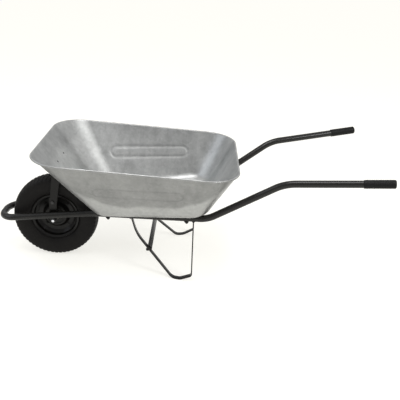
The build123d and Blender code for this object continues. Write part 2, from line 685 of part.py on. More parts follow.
def make_rim_half(side):
    rim = turned(rim_profile())
    if side < 0:
        rim = mirror(rim, Plane.XZ)
    hole = Cylinder(RIM_BOLT_SIZE / 2 + HOLE_GAP, 8 * RIM_SHEET)
    for plane in rim_bolt_planes():
        rim -= plane * hole
    if side < 0:
        rim -= valve_rod(VALVE_DIAMETER / 2 + HOLE_GAP, 0.0, VALVE_LENGTH)
    return rim


def make_rim_fasteners():
    planes = rim_bolt_planes()
    clamp = RIM_SHEET + SEAT_GAP / 2
    length = 2 * clamp + (NUT_HEIGHT + SHORT_THREAD_PAST_NUT) * RIM_BOLT_SIZE
    nut = hex_nut(RIM_BOLT_SIZE, NUT_HEIGHT * RIM_BOLT_SIZE)
    bolts = [p * Pos(0, 0, clamp) * hex_bolt(RIM_BOLT_SIZE, length) for p in planes]
    nuts = [p * Pos(0, 0, -clamp) * Rot(180, 0, 0) * nut for p in planes]
    return group(bolts), group(nuts)


def arc_over(half_width, top, drop):
    """An arc across the mid plane that is highest there and lower by drop at both ends."""
    return ThreePointArc((-half_width, top - drop), (0, top), (half_width, top - drop))


def seat_height(offset):
    """Radius of the tyre's bead at a distance from the mid plane, just clear of the rim."""
    slope = BEAD_SEAT_DROP / BEAD_SEAT_WIDTH
    return BEAD_SEAT_RADIUS + RIM_SHEET / 2 + 2 * SEAT_GAP - slope * (BEAD_SEAT_EDGE - offset)


def tyre_side():
    """Sidewall and bead of the +Y side, from the shoulder round to the inside of the crown."""
    half = TYRE_WIDTH / 2
    belly = (RIM_FLANGE_RADIUS + WHEEL_RADIUS) / 2
    shoulder = (TYRE_SHOULDER * half, WHEEL_RADIUS - TYRE_CROWN_DROP)
    inner = (TYRE_INNER_SHOULDER * half, WHEEL_RADIUS - TYRE_CROWN_WALL - TYRE_INNER_DROP)
    over = RIM_FLANGE_RADIUS + TYRE_LIP[1]
    lip = (RIM_FLANGE_HALF_WIDTH + TYRE_LIP[0], over)
    heel = BEAD_SEAT_EDGE - BEAD_HEEL_GAP
    toe = heel - BEAD_WIDTH
    bead = Polyline(
        lip, (heel, RIM_FLANGE_RADIUS - BEAD_HEEL_TOP), (heel, seat_height(heel) + BEAD_HEEL_GAP),
        (toe, seat_height(toe)), (toe, over))
    return [
        ThreePointArc(shoulder, (half, belly), lip),
        bead,
        ThreePointArc((toe, over), (half - TYRE_SIDE_WALL, belly), inner),
    ]


def make_tyre():
    """Crown, sidewalls and beads in one closed section, turned about the axle."""
    half = TYRE_WIDTH / 2
    outer = arc_over(TYRE_SHOULDER * half, WHEEL_RADIUS, TYRE_CROWN_DROP)
    inner = arc_over(TYRE_INNER_SHOULDER * half, WHEEL_RADIUS - TYRE_CROWN_WALL, TYRE_INNER_DROP)
    side = tyre_side()
    other = [mirror(edge, Plane.YZ) for edge in side]
    return turned(make_face([outer, inner] + side + other))


def inner_tube_ellipse(shrink):
    """Outline of the air tube's section, drawn in by shrink."""
    high = WHEEL_RADIUS - TYRE_CROWN_WALL - INNER_TUBE_CLEARANCE
    middle = (high + INNER_TUBE_LOW_RADIUS) / 2
    tall = (high - INNER_TUBE_LOW_RADIUS) / 2
    return Pos(0, middle) * Ellipse(INNER_TUBE_HALF_WIDTH - shrink, tall - shrink)


def make_inner_tube():
    return turned(inner_tube_ellipse(0.0) - inner_tube_ellipse(INNER_TUBE_WALL))


def valve_rod(radius, start, end):
    """A round bar on the valve's axis, between two distances from its root."""
    scale = math.hypot(1.0, VALVE_LEAN)
    y0 = VALVE_ROOT[0]
    r0 = VALVE_ROOT[1]
    ends = []
    for distance in (start, end):
        y = -(y0 + distance / scale)
        r = r0 - distance * VALVE_LEAN / scale
        ends.append((AXLE_X, y, WHEEL_RADIUS + r))
    return rod(ends[0], ends[1], radius)


def make_valve():
    """The stem, cut off square under its cap and seated on the air tube."""
    stem = valve_rod(VALVE_DIAMETER / 2, 0.0, VALVE_LENGTH - VALVE_CAP_LENGTH)
    neck_radius = VALVE_DIAMETER / 2 - VALVE_NECK_INSET
    neck = valve_rod(neck_radius, 0.0, VALVE_LENGTH - VALVE_CAP_END)
    stem = (stem + neck) - turned(inner_tube_ellipse(-SEAT_GAP))
    stem = stem.solids().sort_by(SortBy.VOLUME)[-1]
    cap = valve_rod(VALVE_CAP_DIAMETER / 2, VALVE_LENGTH - VALVE_CAP_LENGTH + SEAT_GAP, VALVE_LENGTH)
    cap -= valve_rod(neck_radius + SEAT_GAP, 0.0, VALVE_LENGTH - VALVE_CAP_END + 2 * SEAT_GAP)
    return stem, cap


# ---------------------------------------------------------------- all nodes
def build_nodes():
    """Every node of the wheelbarrow, by name."""
    nodes = {
        "frame_tube": make_frame_tube(),
        "grip_left": make_grip(-1),
        "grip_right": make_grip(1),
        "tray": make_tray(),
        "rim_wire": make_rim_wire(),
        "front_stay": make_front_stay(),
        "axle_bracket_left": make_axle_bracket(-1),
        "axle_bracket_right": make_axle_bracket(1),
        "leg_left": drill_leg(make_leg(-1)),
        "leg_right": drill_leg(make_leg(1)),
        "leg_cross_bar": make_cross_bar(),
        "axle_spacers": make_axle_spacers(),
        "hub_tube": make_hub_tube(),
        "hub_bush_left": make_hub_bush(-1),
        "hub_bush_right": make_hub_bush(1),
        "wheel_rim_left": make_rim_half(-1),
        "wheel_rim_right": make_rim_half(1),
        "tyre": make_tyre(),
        "inner_tube": make_inner_tube(),
    }
    nodes["axle_bolt"], nodes["axle_washers"], nodes["axle_nut"] = make_axle()
    nodes["valve_stem"], nodes["valve_cap"] = make_valve()
    nodes["tray_bolts"], nodes["tray_washers"], nodes["tray_nuts"] = make_tray_fasteners()
    nodes["stay_bolts"], nodes["stay_washers"], nodes["stay_nuts"] = make_stay_fasteners()
    joint = make_cross_bar_fasteners()
    nodes["cross_bar_bolts"], nodes["cross_bar_washers"], nodes["cross_bar_nuts"] = joint
    nodes["bracket_bolts"], nodes["bracket_nuts"] = make_bracket_fasteners()
    nodes["wheel_rim_bolts"], nodes["wheel_rim_nuts"] = make_rim_fasteners()
    return nodes


def main():
    os.makedirs("parts", exist_ok=True)
    for name, shape in build_nodes().items():
        export_step(shape, f"parts/{name}.step")


main()
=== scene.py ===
# %% [markdown]
# # A builder's wheelbarrow
#
# The measured model arrives first. It is a fixed frame: its pieces have the right sizes and places, but
# plain looks. Everything below adds the surfaces and finishes that a person would see on the real thing,
# a pressed and galvanised tray, gloss black tube and strip, a rubber tyre and plated fasteners.
#
# Every new piece later rides on one of those two.

# %% Load the measured model
import json
import math

import bpy
import numpy as np
from mathutils import Matrix, Vector


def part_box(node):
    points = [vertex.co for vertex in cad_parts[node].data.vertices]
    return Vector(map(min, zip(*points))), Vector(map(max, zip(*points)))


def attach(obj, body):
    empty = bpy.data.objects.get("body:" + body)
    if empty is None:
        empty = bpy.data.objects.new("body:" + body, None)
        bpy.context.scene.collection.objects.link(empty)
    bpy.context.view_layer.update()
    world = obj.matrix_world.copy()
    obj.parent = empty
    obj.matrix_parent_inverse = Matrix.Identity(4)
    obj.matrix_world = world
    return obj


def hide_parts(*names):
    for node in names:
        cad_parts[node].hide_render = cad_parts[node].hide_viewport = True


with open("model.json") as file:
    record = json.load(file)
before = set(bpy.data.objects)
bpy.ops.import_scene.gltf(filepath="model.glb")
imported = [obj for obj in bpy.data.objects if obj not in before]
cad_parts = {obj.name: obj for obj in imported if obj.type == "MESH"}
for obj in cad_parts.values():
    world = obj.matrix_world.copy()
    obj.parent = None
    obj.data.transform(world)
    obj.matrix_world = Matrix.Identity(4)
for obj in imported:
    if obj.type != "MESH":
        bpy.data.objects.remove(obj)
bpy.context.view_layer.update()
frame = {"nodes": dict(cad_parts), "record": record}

# %% [markdown]
# ## Turning arrays into meshes
#
# A surface here is a grid of points that numpy works out in one go: rings of points, one ring after
# another along the piece. Blender needs a flat list of points and, for each face, the numbers of its
# corners. The helper below makes both from the grid, closes the two ends with a fan to a middle point,
# and turns the faces round if they point inwards, which it knows from the sign of the volume.

# %% Mesh helpers
SHARP_ANGLE = math.radians(38)


def ring_faces(rings, around, closed):
    """Corner numbers of the quads between neighbouring rings: point number = ring * around + place."""
    ring = np.arange(rings if closed else rings - 1)
    place = np.arange(around)
    r, p = np.meshgrid(ring, place, indexing="ij")
    r_next = (r + 1) % rings
    p_next = (p + 1) % around
    corners = [r * around + p, r * around + p_next, r_next * around + p_next, r_next * around + p]
    return np.stack(corners, -1).reshape(-1, 4)


def signed_volume(points, faces):
    """Sum over fans of triangles of (a . b x c) / 6, positive when the faces point outwards."""
    total = 0.0
    for block in faces:
        a = points[block[:, 0]]
        for k in range(1, block.shape[1] - 1):
            b = points[block[:, k]]
            c = points[block[:, k + 1]]
            total += np.einsum("ij,ij->i", a, np.cross(b, c)).sum() / 6
    return total


def new_object(name, points, faces, smooth=True, outward=True):
    """A mesh object from an array of points and blocks of corner numbers."""
    points = np.asarray(points, float)
    faces = [np.asarray(block, int) for block in faces]
    if outward and signed_volume(points - points.mean(0), faces) < 0:
        faces = [block[:, ::-1] for block in faces]
    corners = np.concatenate([block.ravel() for block in faces])
    sizes = np.concatenate([np.full(len(block), block.shape[1]) for block in faces])
    mesh = bpy.data.meshes.new(name)
    mesh.vertices.add(len(points))
    mesh.vertices.foreach_set("co", points.astype(np.float32).ravel())
    mesh.loops.add(len(corners))
    mesh.loops.foreach_set("vertex_index", corners.astype(np.int32))
    mesh.polygons.add(len(sizes))
    mesh.polygons.foreach_set("loop_start", (np.cumsum(sizes) - sizes).astype(np.int32))
    mesh.update(calc_edges=True)
    mesh.validate()
    if smooth:
        mesh.shade_smooth()
        mesh.set_sharp_from_angle(angle=SHARP_ANGLE)
    piece = bpy.data.objects.new(name, mesh)
    bpy.context.scene.collection.objects.link(piece)
    return piece


def capped(rings):
    """Points, quads and end fans of a tube-like piece: each end is closed with a fan to its middle."""
    count, around = rings.shape[:2]
    points = rings.reshape(-1, 3)
    place = np.arange(around)
    follow = (place + 1) % around
    last = (count - 1) * around
    pole = len(points)
    start = np.stack([follow, place, np.full(around, pole)], -1)
    finish = np.stack([last + place, last + follow, np.full(around, pole + 1)], -1)
    points = np.vstack([points, points[:around].mean(0), points[-around:].mean(0)])
    return points, ring_faces(count, around, False), np.vstack([start, finish])


def skin(name, rings):
    """A tube-like piece from rings[ring, place, xyz]."""
    points, quads, fans = capped(rings)
    return new_object(name, points, [quads, fans])


def closed_ring(name, rings):
    """A ring-shaped piece, whose last ring joins the first."""
    return new_object(name, rings.reshape(-1, 3), [ring_faces(*rings.shape[:2], True)])


def joined(name, grids):
    """Several tube-like pieces in one mesh, such as a set of weld beads."""
    points, quads, fans = [], [], []
    offset = 0
    for rings in grids:
        flat, block, fan = capped(rings)
        if signed_volume(flat - flat.mean(0), [block, fan]) < 0:
            block, fan = block[:, ::-1], fan[:, ::-1]
        quads.append(block + offset)
        fans.append(fan + offset)
        points.append(flat)
        offset += len(flat)
    return new_object(name, np.vstack(points), [np.vstack(quads), np.vstack(fans)], outward=False)


def unit(vectors):
    """Vectors scaled to length one along the last axis."""
    return vectors / np.linalg.norm(vectors, axis=-1, keepdims=True)


def arc_between(a, b, angle, share):
    """Unit vectors turned evenly from a to b, which are the given angle apart."""
    return (np.sin((1 - share) * angle) * a + np.sin(share * angle) * b) / np.sin(angle)


print("helpers ready")

# %% [markdown]
# ## Sizes
#
# The measured model gives most sizes: the wheel's centre and radius, the tray's box, the bolts. The bends
# of the frame tube can't be read from a box, so their places are repeated here in metres. Their radii are
# the ones that look right, and the first two are wider than in the measured model.

# %% Sizes from the frame
wheel_low, wheel_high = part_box("tyre")
WHEEL = np.array(wheel_low + wheel_high) / 2
WHEEL_RADIUS = (wheel_high.z - wheel_low.z) / 2
TUBE_RADIUS = 0.014

NOSE_X, NOSE_HALF_WIDTH = -0.766, 0.075
SPREAD_X = -0.370
RAIL_HEIGHT_AT_AXLE, RAIL_RISE = 0.2062, 0.100
LOWER_BEND_X = 0.106
UPPER_BEND = (0.389, 0.259, 0.4614)
HANDLE_END = (0.776, 0.3385, 0.5095)
FRAME_BEND_RADII = (0.180, 0.130, 0.150, 0.060)
SPREAD_RATE = (UPPER_BEND[1] - NOSE_HALF_WIDTH) / (UPPER_BEND[0] - SPREAD_X)


def rail_height(x):
    """Height of the rails' centreline: a straight line that rises towards the handles."""
    return RAIL_HEIGHT_AT_AXLE + RAIL_RISE * (x - WHEEL[0])


def rail_offset(x):
    """Distance of a rail from the middle: constant beside the wheel, then growing steadily."""
    return NOSE_HALF_WIDTH + SPREAD_RATE * np.maximum(0.0, x - SPREAD_X)


tube_low, tube_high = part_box("frame_tube")
print("wheel", WHEEL.round(4), round(WHEEL_RADIUS, 4), "frame tube", tube_low, tube_high)

# %% [markdown]
# ## Camera
#
# A camera is a place and three directions. This one stands 2.3 m to the side of the barrow at about chest
# height, looks down a little more than twenty degrees and is rolled slightly, as a hand-held picture often
# is. Depth of field stays off, so every part of the object is sharp.

# %% Camera
CAMERA_PLACE = Vector((0.056, -2.322, 1.281))
CAMERA_YAW = math.radians(0.47)
CAMERA_PITCH = math.radians(23.53)
CAMERA_ROLL = math.radians(-2.47)
CAMERA_LENS = 53.1

forward = Vector((
    math.sin(CAMERA_YAW) * math.cos(CAMERA_PITCH),
    math.cos(CAMERA_YAW) * math.cos(CAMERA_PITCH),
    -math.sin(CAMERA_PITCH)))
level = Vector((math.cos(CAMERA_YAW), -math.sin(CAMERA_YAW), 0.0))
upward = level.cross(forward)
right = level * math.cos(CAMERA_ROLL) - upward * math.sin(CAMERA_ROLL)
top = level * math.sin(CAMERA_ROLL) + upward * math.cos(CAMERA_ROLL)
camera_data = bpy.data.cameras.new("camera")
camera_data.lens = CAMERA_LENS
camera_data.sensor_width = 36.0
camera = bpy.data.objects.new("camera", camera_data)
camera.matrix_world = Matrix((
    (right.x, top.x, -forward.x, CAMERA_PLACE.x),
    (right.y, top.y, -forward.y, CAMERA_PLACE.y),
    (right.z, top.z, -forward.z, CAMERA_PLACE.z),
    (0, 0, 0, 1)))
bpy.context.scene.collection.objects.link(camera)
bpy.context.scene.camera = camera
print("camera looks along", tuple(round(v, 3) for v in forward))

# %% [markdown]
# ## Floor and light
#
# Bare metal shows what is round it more than its own colour, so the light is the first thing to settle.
# A soft panel hangs overhead, a little towards the camera. A second one stands on the left and is
# slightly blue, as light from a window is, and a smaller one stands on the right. The sky is bright above
# and dimmer towards the horizon, which keeps contrast in the steel instead of washing it out. The floor
# is plain and pale, and it gives off some light of its own, so that it stays nearly white.

# %% Floor and lights
FLOOR_REACH = 30.0


def add_light(name, place, target, size, power, colour=(1, 1, 1)):
    """A square soft panel at place that faces target."""
    data = bpy.data.lights.new(name, "AREA")
    data.size = size
    data.energy = power
    data.color = colour
    lamp = bpy.data.objects.new(name, data)
    lamp.location = place
    lamp.rotation_euler = (Vector(target) - Vector(place)).to_track_quat("-Z", "Y").to_euler()
    bpy.context.scene.collection.objects.link(lamp)


floor_points = FLOOR_REACH * np.array([[-1, -1, 0], [1, -1, 0], [1, 1, 0], [-1, 1, 0]], float)
floor = new_object("floor", floor_points, [np.array([[0, 1, 2, 3]])], smooth=False, outward=False)
floor_material = bpy.data.materials.new("pale_floor")
floor_material.use_nodes = True
floor_shader = floor_material.node_tree.nodes["Principled BSDF"]
floor_shader.inputs["Base Color"].default_value = (0.42, 0.417, 0.40, 1)
floor_shader.inputs["Roughness"].default_value = 0.9
floor_shader.inputs["Specular IOR Level"].default_value = 0.0
floor_shader.inputs["Emission Color"].default_value = (1.0, 0.985, 0.93, 1)
floor_shader.inputs["Emission Strength"].default_value = 0.70
floor.data.materials.append(floor_material)

add_light("overhead", (-0.1, -0.6, 3.2), (0, 0, 0.3), 1.4, 44)
add_light("left", (-3.0, -0.9, 2.2), (0, 0, 0.3), 2.2, 26, (0.86, 0.91, 1.0))
add_light("right", (2.3, -1.9, 2.6), (-0.1, 0, 0.4), 1.1, 52)

world = bpy.data.worlds.new("studio")
bpy.context.scene.world = world
world.use_nodes = True
sky = world.node_tree.nodes["Background"]
direction = world.node_tree.nodes.new("ShaderNodeTexCoord")
split = world.node_tree.nodes.new("ShaderNodeSeparateXYZ")
ramp = world.node_tree.nodes.new("ShaderNodeValToRGB")
ramp.color_ramp.elements[0].position = 0.0
ramp.color_ramp.elements[0].color = (0.50, 0.505, 0.51, 1)
ramp.color_ramp.elements[1].position = 0.8
ramp.color_ramp.elements[1].color = (1.0, 1.0, 1.0, 1)
world.node_tree.links.new(direction.outputs["Generated"], split.inputs[0])
world.node_tree.links.new(split.outputs["Z"], ramp.inputs["Fac"])
world.node_tree.links.new(ramp.outputs["Color"], sky.inputs["Color"])
sky.inputs["Strength"].default_value = 0.80
bpy.context.scene.view_settings.view_transform = "Standard"

# %% [markdown]
# ## Node groups
#
# Some effects are shared by several finishes. Each is built once as a node group with named sockets and
# then placed in each material with its own numbers. A group only puts out colours, masks, values and
# normals; the Principled BSDF stays in the material.
#
# - *spangle* is the crystal pattern that zinc grows on steel when a sheet is dipped: flat cells, each
#   reflecting slightly differently, with long streaks where the zinc ran.
# - *speckle* is fine unevenness for paint and rubber: a bump and a roughness that vary a little.
# - *dust* is a pale film that gathers on faces that look up.

# %% Node group helpers
def new_group(name, inputs, outputs):
    """An empty shader node group; inputs and outputs map socket names to (type, default)."""
    tree = bpy.data.node_groups.new(name, "ShaderNodeTree")
    for socket, (kind, default) in inputs.items():
        item = tree.interface.new_socket(name=socket, in_out="INPUT", socket_type=kind)
        if default is not None:
            item.default_value = default
    for socket, kind in outputs.items():
        tree.interface.new_socket(name=socket, in_out="OUTPUT", socket_type=kind)
    return tree, tree.nodes.new("NodeGroupInput"), tree.nodes.new("NodeGroupOutput")


def add_node(tree, kind, **values):
    """A node of that kind with its input sockets set by name or number, and its settings by name."""
    node = tree.nodes.new("ShaderNode" + kind)
    for key, value in values.items():
        if key.startswith("in_"):
            name = key[3:]
            socket = node.inputs[int(name)] if name.isdigit() else node.inputs[name.replace("_", " ")]
            socket.default_value = value
        else:
            setattr(node, key, value)
    return node


def wire(tree, source, target):
    """Join an output socket to an input socket."""
    tree.links.new(source, target)


def feed(tree, socket, source):
    """Set an input socket to a plain number, or join it to an output socket."""
    if isinstance(source, float):
        socket.default_value = source
    else:
        wire(tree, source, socket)


def calculate(tree, operation, *terms, clamp=False):
    """The result of a Math node whose terms are output sockets or plain numbers."""
    node = add_node(tree, "Math", operation=operation, use_clamp=clamp)
    for socket, term in zip(node.inputs, terms):
        feed(tree, socket, term)
    return node.outputs[0]


def remap(tree, value, low, high, new_low, new_high):
    """The value moved from the range low to high into the range new_low to new_high."""
    node = add_node(tree, "MapRange", in_1=low, in_2=high, in_3=new_low, in_4=new_high)
    wire(tree, value, node.inputs["Value"])
    return node.outputs[0]


def noise(tree, place, scale, detail, roughness):
    """Cloudy noise at the place; a greater scale makes it finer."""
    node = add_node(tree, "TexNoise", in_Detail=detail, in_Roughness=roughness)
    feed(tree, node.inputs["Scale"], scale)
    wire(tree, place, node.inputs["Vector"])
    return node.outputs["Fac"]


def mixed(tree, share, first, second):
    """The first colour where share is 0 and the second where it is 1."""
    node = add_node(tree, "Mix", data_type="RGBA")
    for socket, source in (("Factor", share), (6, first), (7, second)):
        wire(tree, source, node.inputs[socket])
    return node.outputs[2]


FLOAT = "NodeSocketFloat"
COLOUR = "NodeSocketColor"
VECTOR = "NodeSocketVector"
STREAK_STRETCH = (26.0, 26.0, 2.2)
CLOUD_SHARE = 0.75
ZINC_ROUGHNESS = (0.30, 0.46)


def make_spangle():
    """Cell colour = base tint times a cell-by-cell brightness; streaks are noise stretched along Z."""
    tree, start, end = new_group(
        "spangle",
        {"Place": (VECTOR, None), "Crystal scale": (FLOAT, 90.0), "Contrast": (FLOAT, 0.12),
         "Streaks": (FLOAT, 0.12), "Tone": (FLOAT, 1.0), "Light": (COLOUR, (0.6, 0.62, 0.61, 1)),
         "Dark": (COLOUR, (0.42, 0.44, 0.43, 1))},
        {"Color": COLOUR, "Roughness": FLOAT, "Height": FLOAT})
    place = start.outputs["Place"]
    cells = add_node(tree, "TexVoronoi", feature="F1")
    wire(tree, place, cells.inputs["Vector"])
    wire(tree, start.outputs["Crystal scale"], cells.inputs["Scale"])
    shade = add_node(tree, "SeparateColor")
    wire(tree, cells.outputs["Color"], shade.inputs[0])
    stretch = add_node(tree, "Mapping", in_Scale=STREAK_STRETCH)
    wire(tree, place, stretch.inputs["Vector"])
    run = noise(tree, stretch.outputs[0], 1.0, 4.0, 0.6)
    cloud = noise(tree, place, 7.0, 3.0, 0.55)
    crystal = calculate(tree, "MULTIPLY", shade.outputs[0], start.outputs["Contrast"])
    streak = calculate(tree, "MULTIPLY", run, start.outputs["Streaks"])
    both = calculate(tree, "ADD", crystal, streak)
    total = calculate(tree, "MULTIPLY_ADD", cloud, CLOUD_SHARE, both, clamp=True)
    toned = add_node(tree, "VectorMath", operation="SCALE")
    wire(tree, mixed(tree, total, start.outputs["Dark"], start.outputs["Light"]), toned.inputs[0])
    wire(tree, start.outputs["Tone"], toned.inputs["Scale"])
    wire(tree, toned.outputs[0], end.inputs["Color"])
    wire(tree, remap(tree, total, 0.2, 0.9, *ZINC_ROUGHNESS), end.inputs["Roughness"])
    wire(tree, calculate(tree, "ADD", shade.outputs[1], run), end.inputs["Height"])
    return tree


def make_speckle():
    """Roughness = base + spread * noise, and a fine height for a Bump node."""
    tree, start, end = new_group(
        "speckle",
        {"Place": (VECTOR, None), "Scale": (FLOAT, 60.0), "Base": (FLOAT, 0.3), "Spread": (FLOAT, 0.1)},
        {"Roughness": FLOAT, "Height": FLOAT})
    fine = noise(tree, start.outputs["Place"], start.outputs["Scale"], 5.0, 0.6)
    rough = calculate(tree, "MULTIPLY_ADD", fine, start.outputs["Spread"], start.outputs["Base"])
    wire(tree, rough, end.inputs["Roughness"])
    wire(tree, fine, end.inputs["Height"])
    return tree


def make_dust():
    """Colour mixed towards a dust tint where the face looks up and a noise is high."""
    tree, start, end = new_group(
        "dust",
        {"Color": (COLOUR, (0, 0, 0, 1)), "Place": (VECTOR, None), "Amount": (FLOAT, 0.1),
         "Tint": (COLOUR, (0.32, 0.30, 0.27, 1))},
        {"Color": COLOUR})
    facing = add_node(tree, "NewGeometry")
    split_normal = add_node(tree, "SeparateXYZ")
    wire(tree, facing.outputs["Normal"], split_normal.inputs[0])
    up = remap(tree, split_normal.outputs["Z"], -0.2, 1.0, 0.25, 1.0)
    patches = noise(tree, start.outputs["Place"], 35.0, 6.0, 0.65)
    share = calculate(tree, "MULTIPLY", up, remap(tree, patches, 0.42, 0.72, 0.0, 1.0))
    share = calculate(tree, "MULTIPLY", share, start.outputs["Amount"], clamp=True)
    wire(tree, mixed(tree, share, start.outputs["Color"], start.outputs["Tint"]), end.inputs["Color"])
    return tree


SPANGLE = make_spangle()
SPECKLE = make_speckle()
DUST = make_dust()
print("groups", [g.name for g in bpy.data.node_groups])

# %% [markdown]
# ## Finishes
#
# Each finish is a material with a Principled BSDF and the groups above. The galvanised sheet is a metal
# with crystals and streaks. The frame has thick gloss enamel, so it gets a coat. Rubber is dark, dull and
# slightly dusty. The axle bolt is bright zinc plate, and the parts beside it have darkened.

# %% Materials
def start_material(name, metallic=0.0, coat=0.0, coat_roughness=0.1, specular=0.5):
    """A material with its shader and Object coordinates; returns (material, tree, shader, place)."""
    material = bpy.data.materials.new(name)
    material.use_nodes = True
    tree = material.node_tree
    shader = tree.nodes["Principled BSDF"]
    shader.inputs["Metallic"].default_value = metallic
    shader.inputs["Coat Weight"].default_value = coat
    shader.inputs["Coat Roughness"].default_value = coat_roughness
    shader.inputs["Specular IOR Level"].default_value = specular
    coordinates = tree.nodes.new("ShaderNodeTexCoord")
    return material, tree, shader, coordinates.outputs["Object"]


def use_group(tree, group, place, **values):
    """A group in a material, fed with the place and with its own numbers."""
    node = tree.nodes.new("ShaderNodeGroup")
    node.node_tree = group
    wire(tree, place, node.inputs["Place"])
    for key, value in values.items():
        node.inputs[key.replace("_", " ")].default_value = value
    return node


def add_bump(tree, shader, height, strength, distance):
    """A Bump node between a height and the shader's normal."""
    bump = add_node(tree, "Bump", in_Strength=strength, in_Distance=distance)
    wire(tree, height, bump.inputs["Height"])
    wire(tree, bump.outputs[0], shader.inputs["Normal"])


def galvanised(name, light, dark):
    """Zinc-dipped steel sheet. A point attribute of the mesh that holds painted light and shade scales its
    colour.
    """
    material, tree, shader, place = start_material(name, metallic=1.0)
    zinc = use_group(tree, SPANGLE, place, Crystal_scale=90.0, Contrast=0.16, Streaks=0.55,
                     Light=light, Dark=dark)
    # The attribute holds painted light: a painted reflection band low on the walls, and painted shade above
    # it and on the side walls.
    painted_light = add_node(tree, "Attribute", attribute_name="painted_light")
    wire(tree, painted_light.outputs["Fac"], zinc.inputs["Tone"])
    wire(tree, zinc.outputs["Color"], shader.inputs["Base Color"])
    wire(tree, zinc.outputs["Roughness"], shader.inputs["Roughness"])
    add_bump(tree, shader, zinc.outputs["Height"], 0.06, 0.001)
    return material


def speckled(name, colour, scale, base, spread, dust, bump, **shader_values):
    """A dusted colour, with roughness and a fine bump (strength, distance) from the speckle group."""
    material, tree, shader, place = start_material(name, **shader_values)
    fine = use_group(tree, SPECKLE, place, Scale=scale, Base=base, Spread=spread)
    film = use_group(tree, DUST, place, Color=colour, Amount=dust)
    wire(tree, film.outputs["Color"], shader.inputs["Base Color"])
    wire(tree, fine.outputs["Roughness"], shader.inputs["Roughness"])
    add_bump(tree, shader, fine.outputs["Height"], *bump)
    return material


def painted(name, colour, base=0.22, specular=0.24):
    """Gloss enamel over steel, with a little dust on top."""
    return speckled(name, colour, 70.0, base, 0.12, 0.012, (0.08, 0.0006),
                    specular=specular, coat=0.12, coat_roughness=0.12)


def rubbery(name, colour, base, dust):
    """Dull dark rubber or soft plastic."""
    return speckled(name, colour, 160.0, base, 0.15, dust, (0.25, 0.0008), specular=0.13)


def plated(name, colour, base=0.22):
    """Zinc plate or bare steel on small parts."""
    return speckled(name, colour, 220.0, base, 0.16, 0.12, (0.12, 0.0004), metallic=1.0)


GALVANISED = galvanised("galvanised_sheet", (0.58, 0.585, 0.575, 1), (0.19, 0.195, 0.193, 1))
BLACK_PAINT = painted("black_enamel", (0.0072, 0.0068, 0.0060, 1))
# A darker, less shiny copy of the black enamel. It is the wheel's own enamel, and it is painted shade on
# the axle brackets, front stay and bracket nuts, which sit in the tray's shadow.
WHEEL_AND_SHADE_PAINT = painted("wheel_enamel_and_painted_shade", (0.0056, 0.0052, 0.0047, 1), base=0.24, specular=0.14)
TYRE_RUBBER = rubbery("tyre_rubber", (0.0058, 0.0052, 0.0048, 1), base=0.48, dust=0.02)
GRIP_RUBBER = rubbery("grip_rubber", (0.0060, 0.0060, 0.0062, 1), base=0.42, dust=0.01)
ZINC = plated("zinc_plate", (0.70, 0.71, 0.74, 1))
DARK_ZINC = plated("blackened_zinc", (0.045, 0.045, 0.046, 1), base=0.34)
WIRE_STEEL = plated("drawn_wire", (0.45, 0.45, 0.46, 1), base=0.35)
NYLON = rubbery("greasy_nylon", (0.10, 0.095, 0.080, 1), base=0.40, dust=0.05)
BUTYL = rubbery("butyl_rubber", (0.02, 0.02, 0.02, 1), base=0.45, dust=0.05)
print("materials", len(bpy.data.materials))

# %% [markdown]
# ## Finishing the measured pieces
#
# Pieces whose shape is already right only need a better finish. This table says which one each takes. The
# pieces that are remade below are hidden later, and they are in the table too so that nothing is forgotten.

# %% Finishes on measured pieces
FINISH_OF_SLOT = {
    "galvanised_sheet": GALVANISED,
    "black_paint": BLACK_PAINT,
    "grip_rubber": GRIP_RUBBER,
    "tyre_rubber": TYRE_RUBBER,
    "butyl": BUTYL,
    "zinc": ZINC,
    "steel_wire": WIRE_STEEL,
    "bush_plastic": NYLON,
    "cap_plastic": GRIP_RUBBER,
}
WHEEL_NODES = frame["record"]["behaviour"]["bodies"]["wheel"]
# Black-painted frame parts in the tray's shadow. They get the darker copy of the enamel as painted shade.
SHADED_NODES = ("axle_bracket_left", "axle_bracket_right", "front_stay", "bracket_nuts")
for part in frame["record"]["subparts"]:
    node = frame["nodes"][part["node"]]
    finish = FINISH_OF_SLOT[part["material_slot"]]
    if finish is BLACK_PAINT and (part["node"] in WHEEL_NODES or part["node"] in SHADED_NODES):
        finish = WHEEL_AND_SHADE_PAINT
    node.data.materials.clear()
    node.data.materials.append(finish)
for name in ("axle_nut", "axle_washers", "axle_spacers", "bracket_bolts"):
    frame["nodes"][name].data.materials.clear()
    frame["nodes"][name].data.materials.append(DARK_ZINC)


def place_piece(piece, finish, body, slot, *nodes):
    """Give a new piece its finish and its body, and hide the measured nodes that it stands for. The slot is
    not used.
    """
    piece.data.materials.append(finish)
    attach(piece, body)
    if nodes:
        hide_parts(*nodes)
    print(piece.name, len(piece.data.polygons), "faces")


# %% [markdown]
# ## The tray
#
# The real tray is pressed from one flat sheet: a floor, four leaning walls, big soft corners and an edge
# rolled round a wire. It could be made from the measured block with bevels, but then the corners would be
# hard to keep smooth. Here it is a profile carried round an outline. For each place round the outline the
# profile runs from the middle of the floor, round the bend, up the wall, over the rolled edge and back
# down on the outside, so inside, edge and outside are one closed skin.
#
# Both long sides carry one plain pressed stiffening swage, a long rounded ring that stands out by about
# a millimetre, which keeps a thin sheet from drumming.

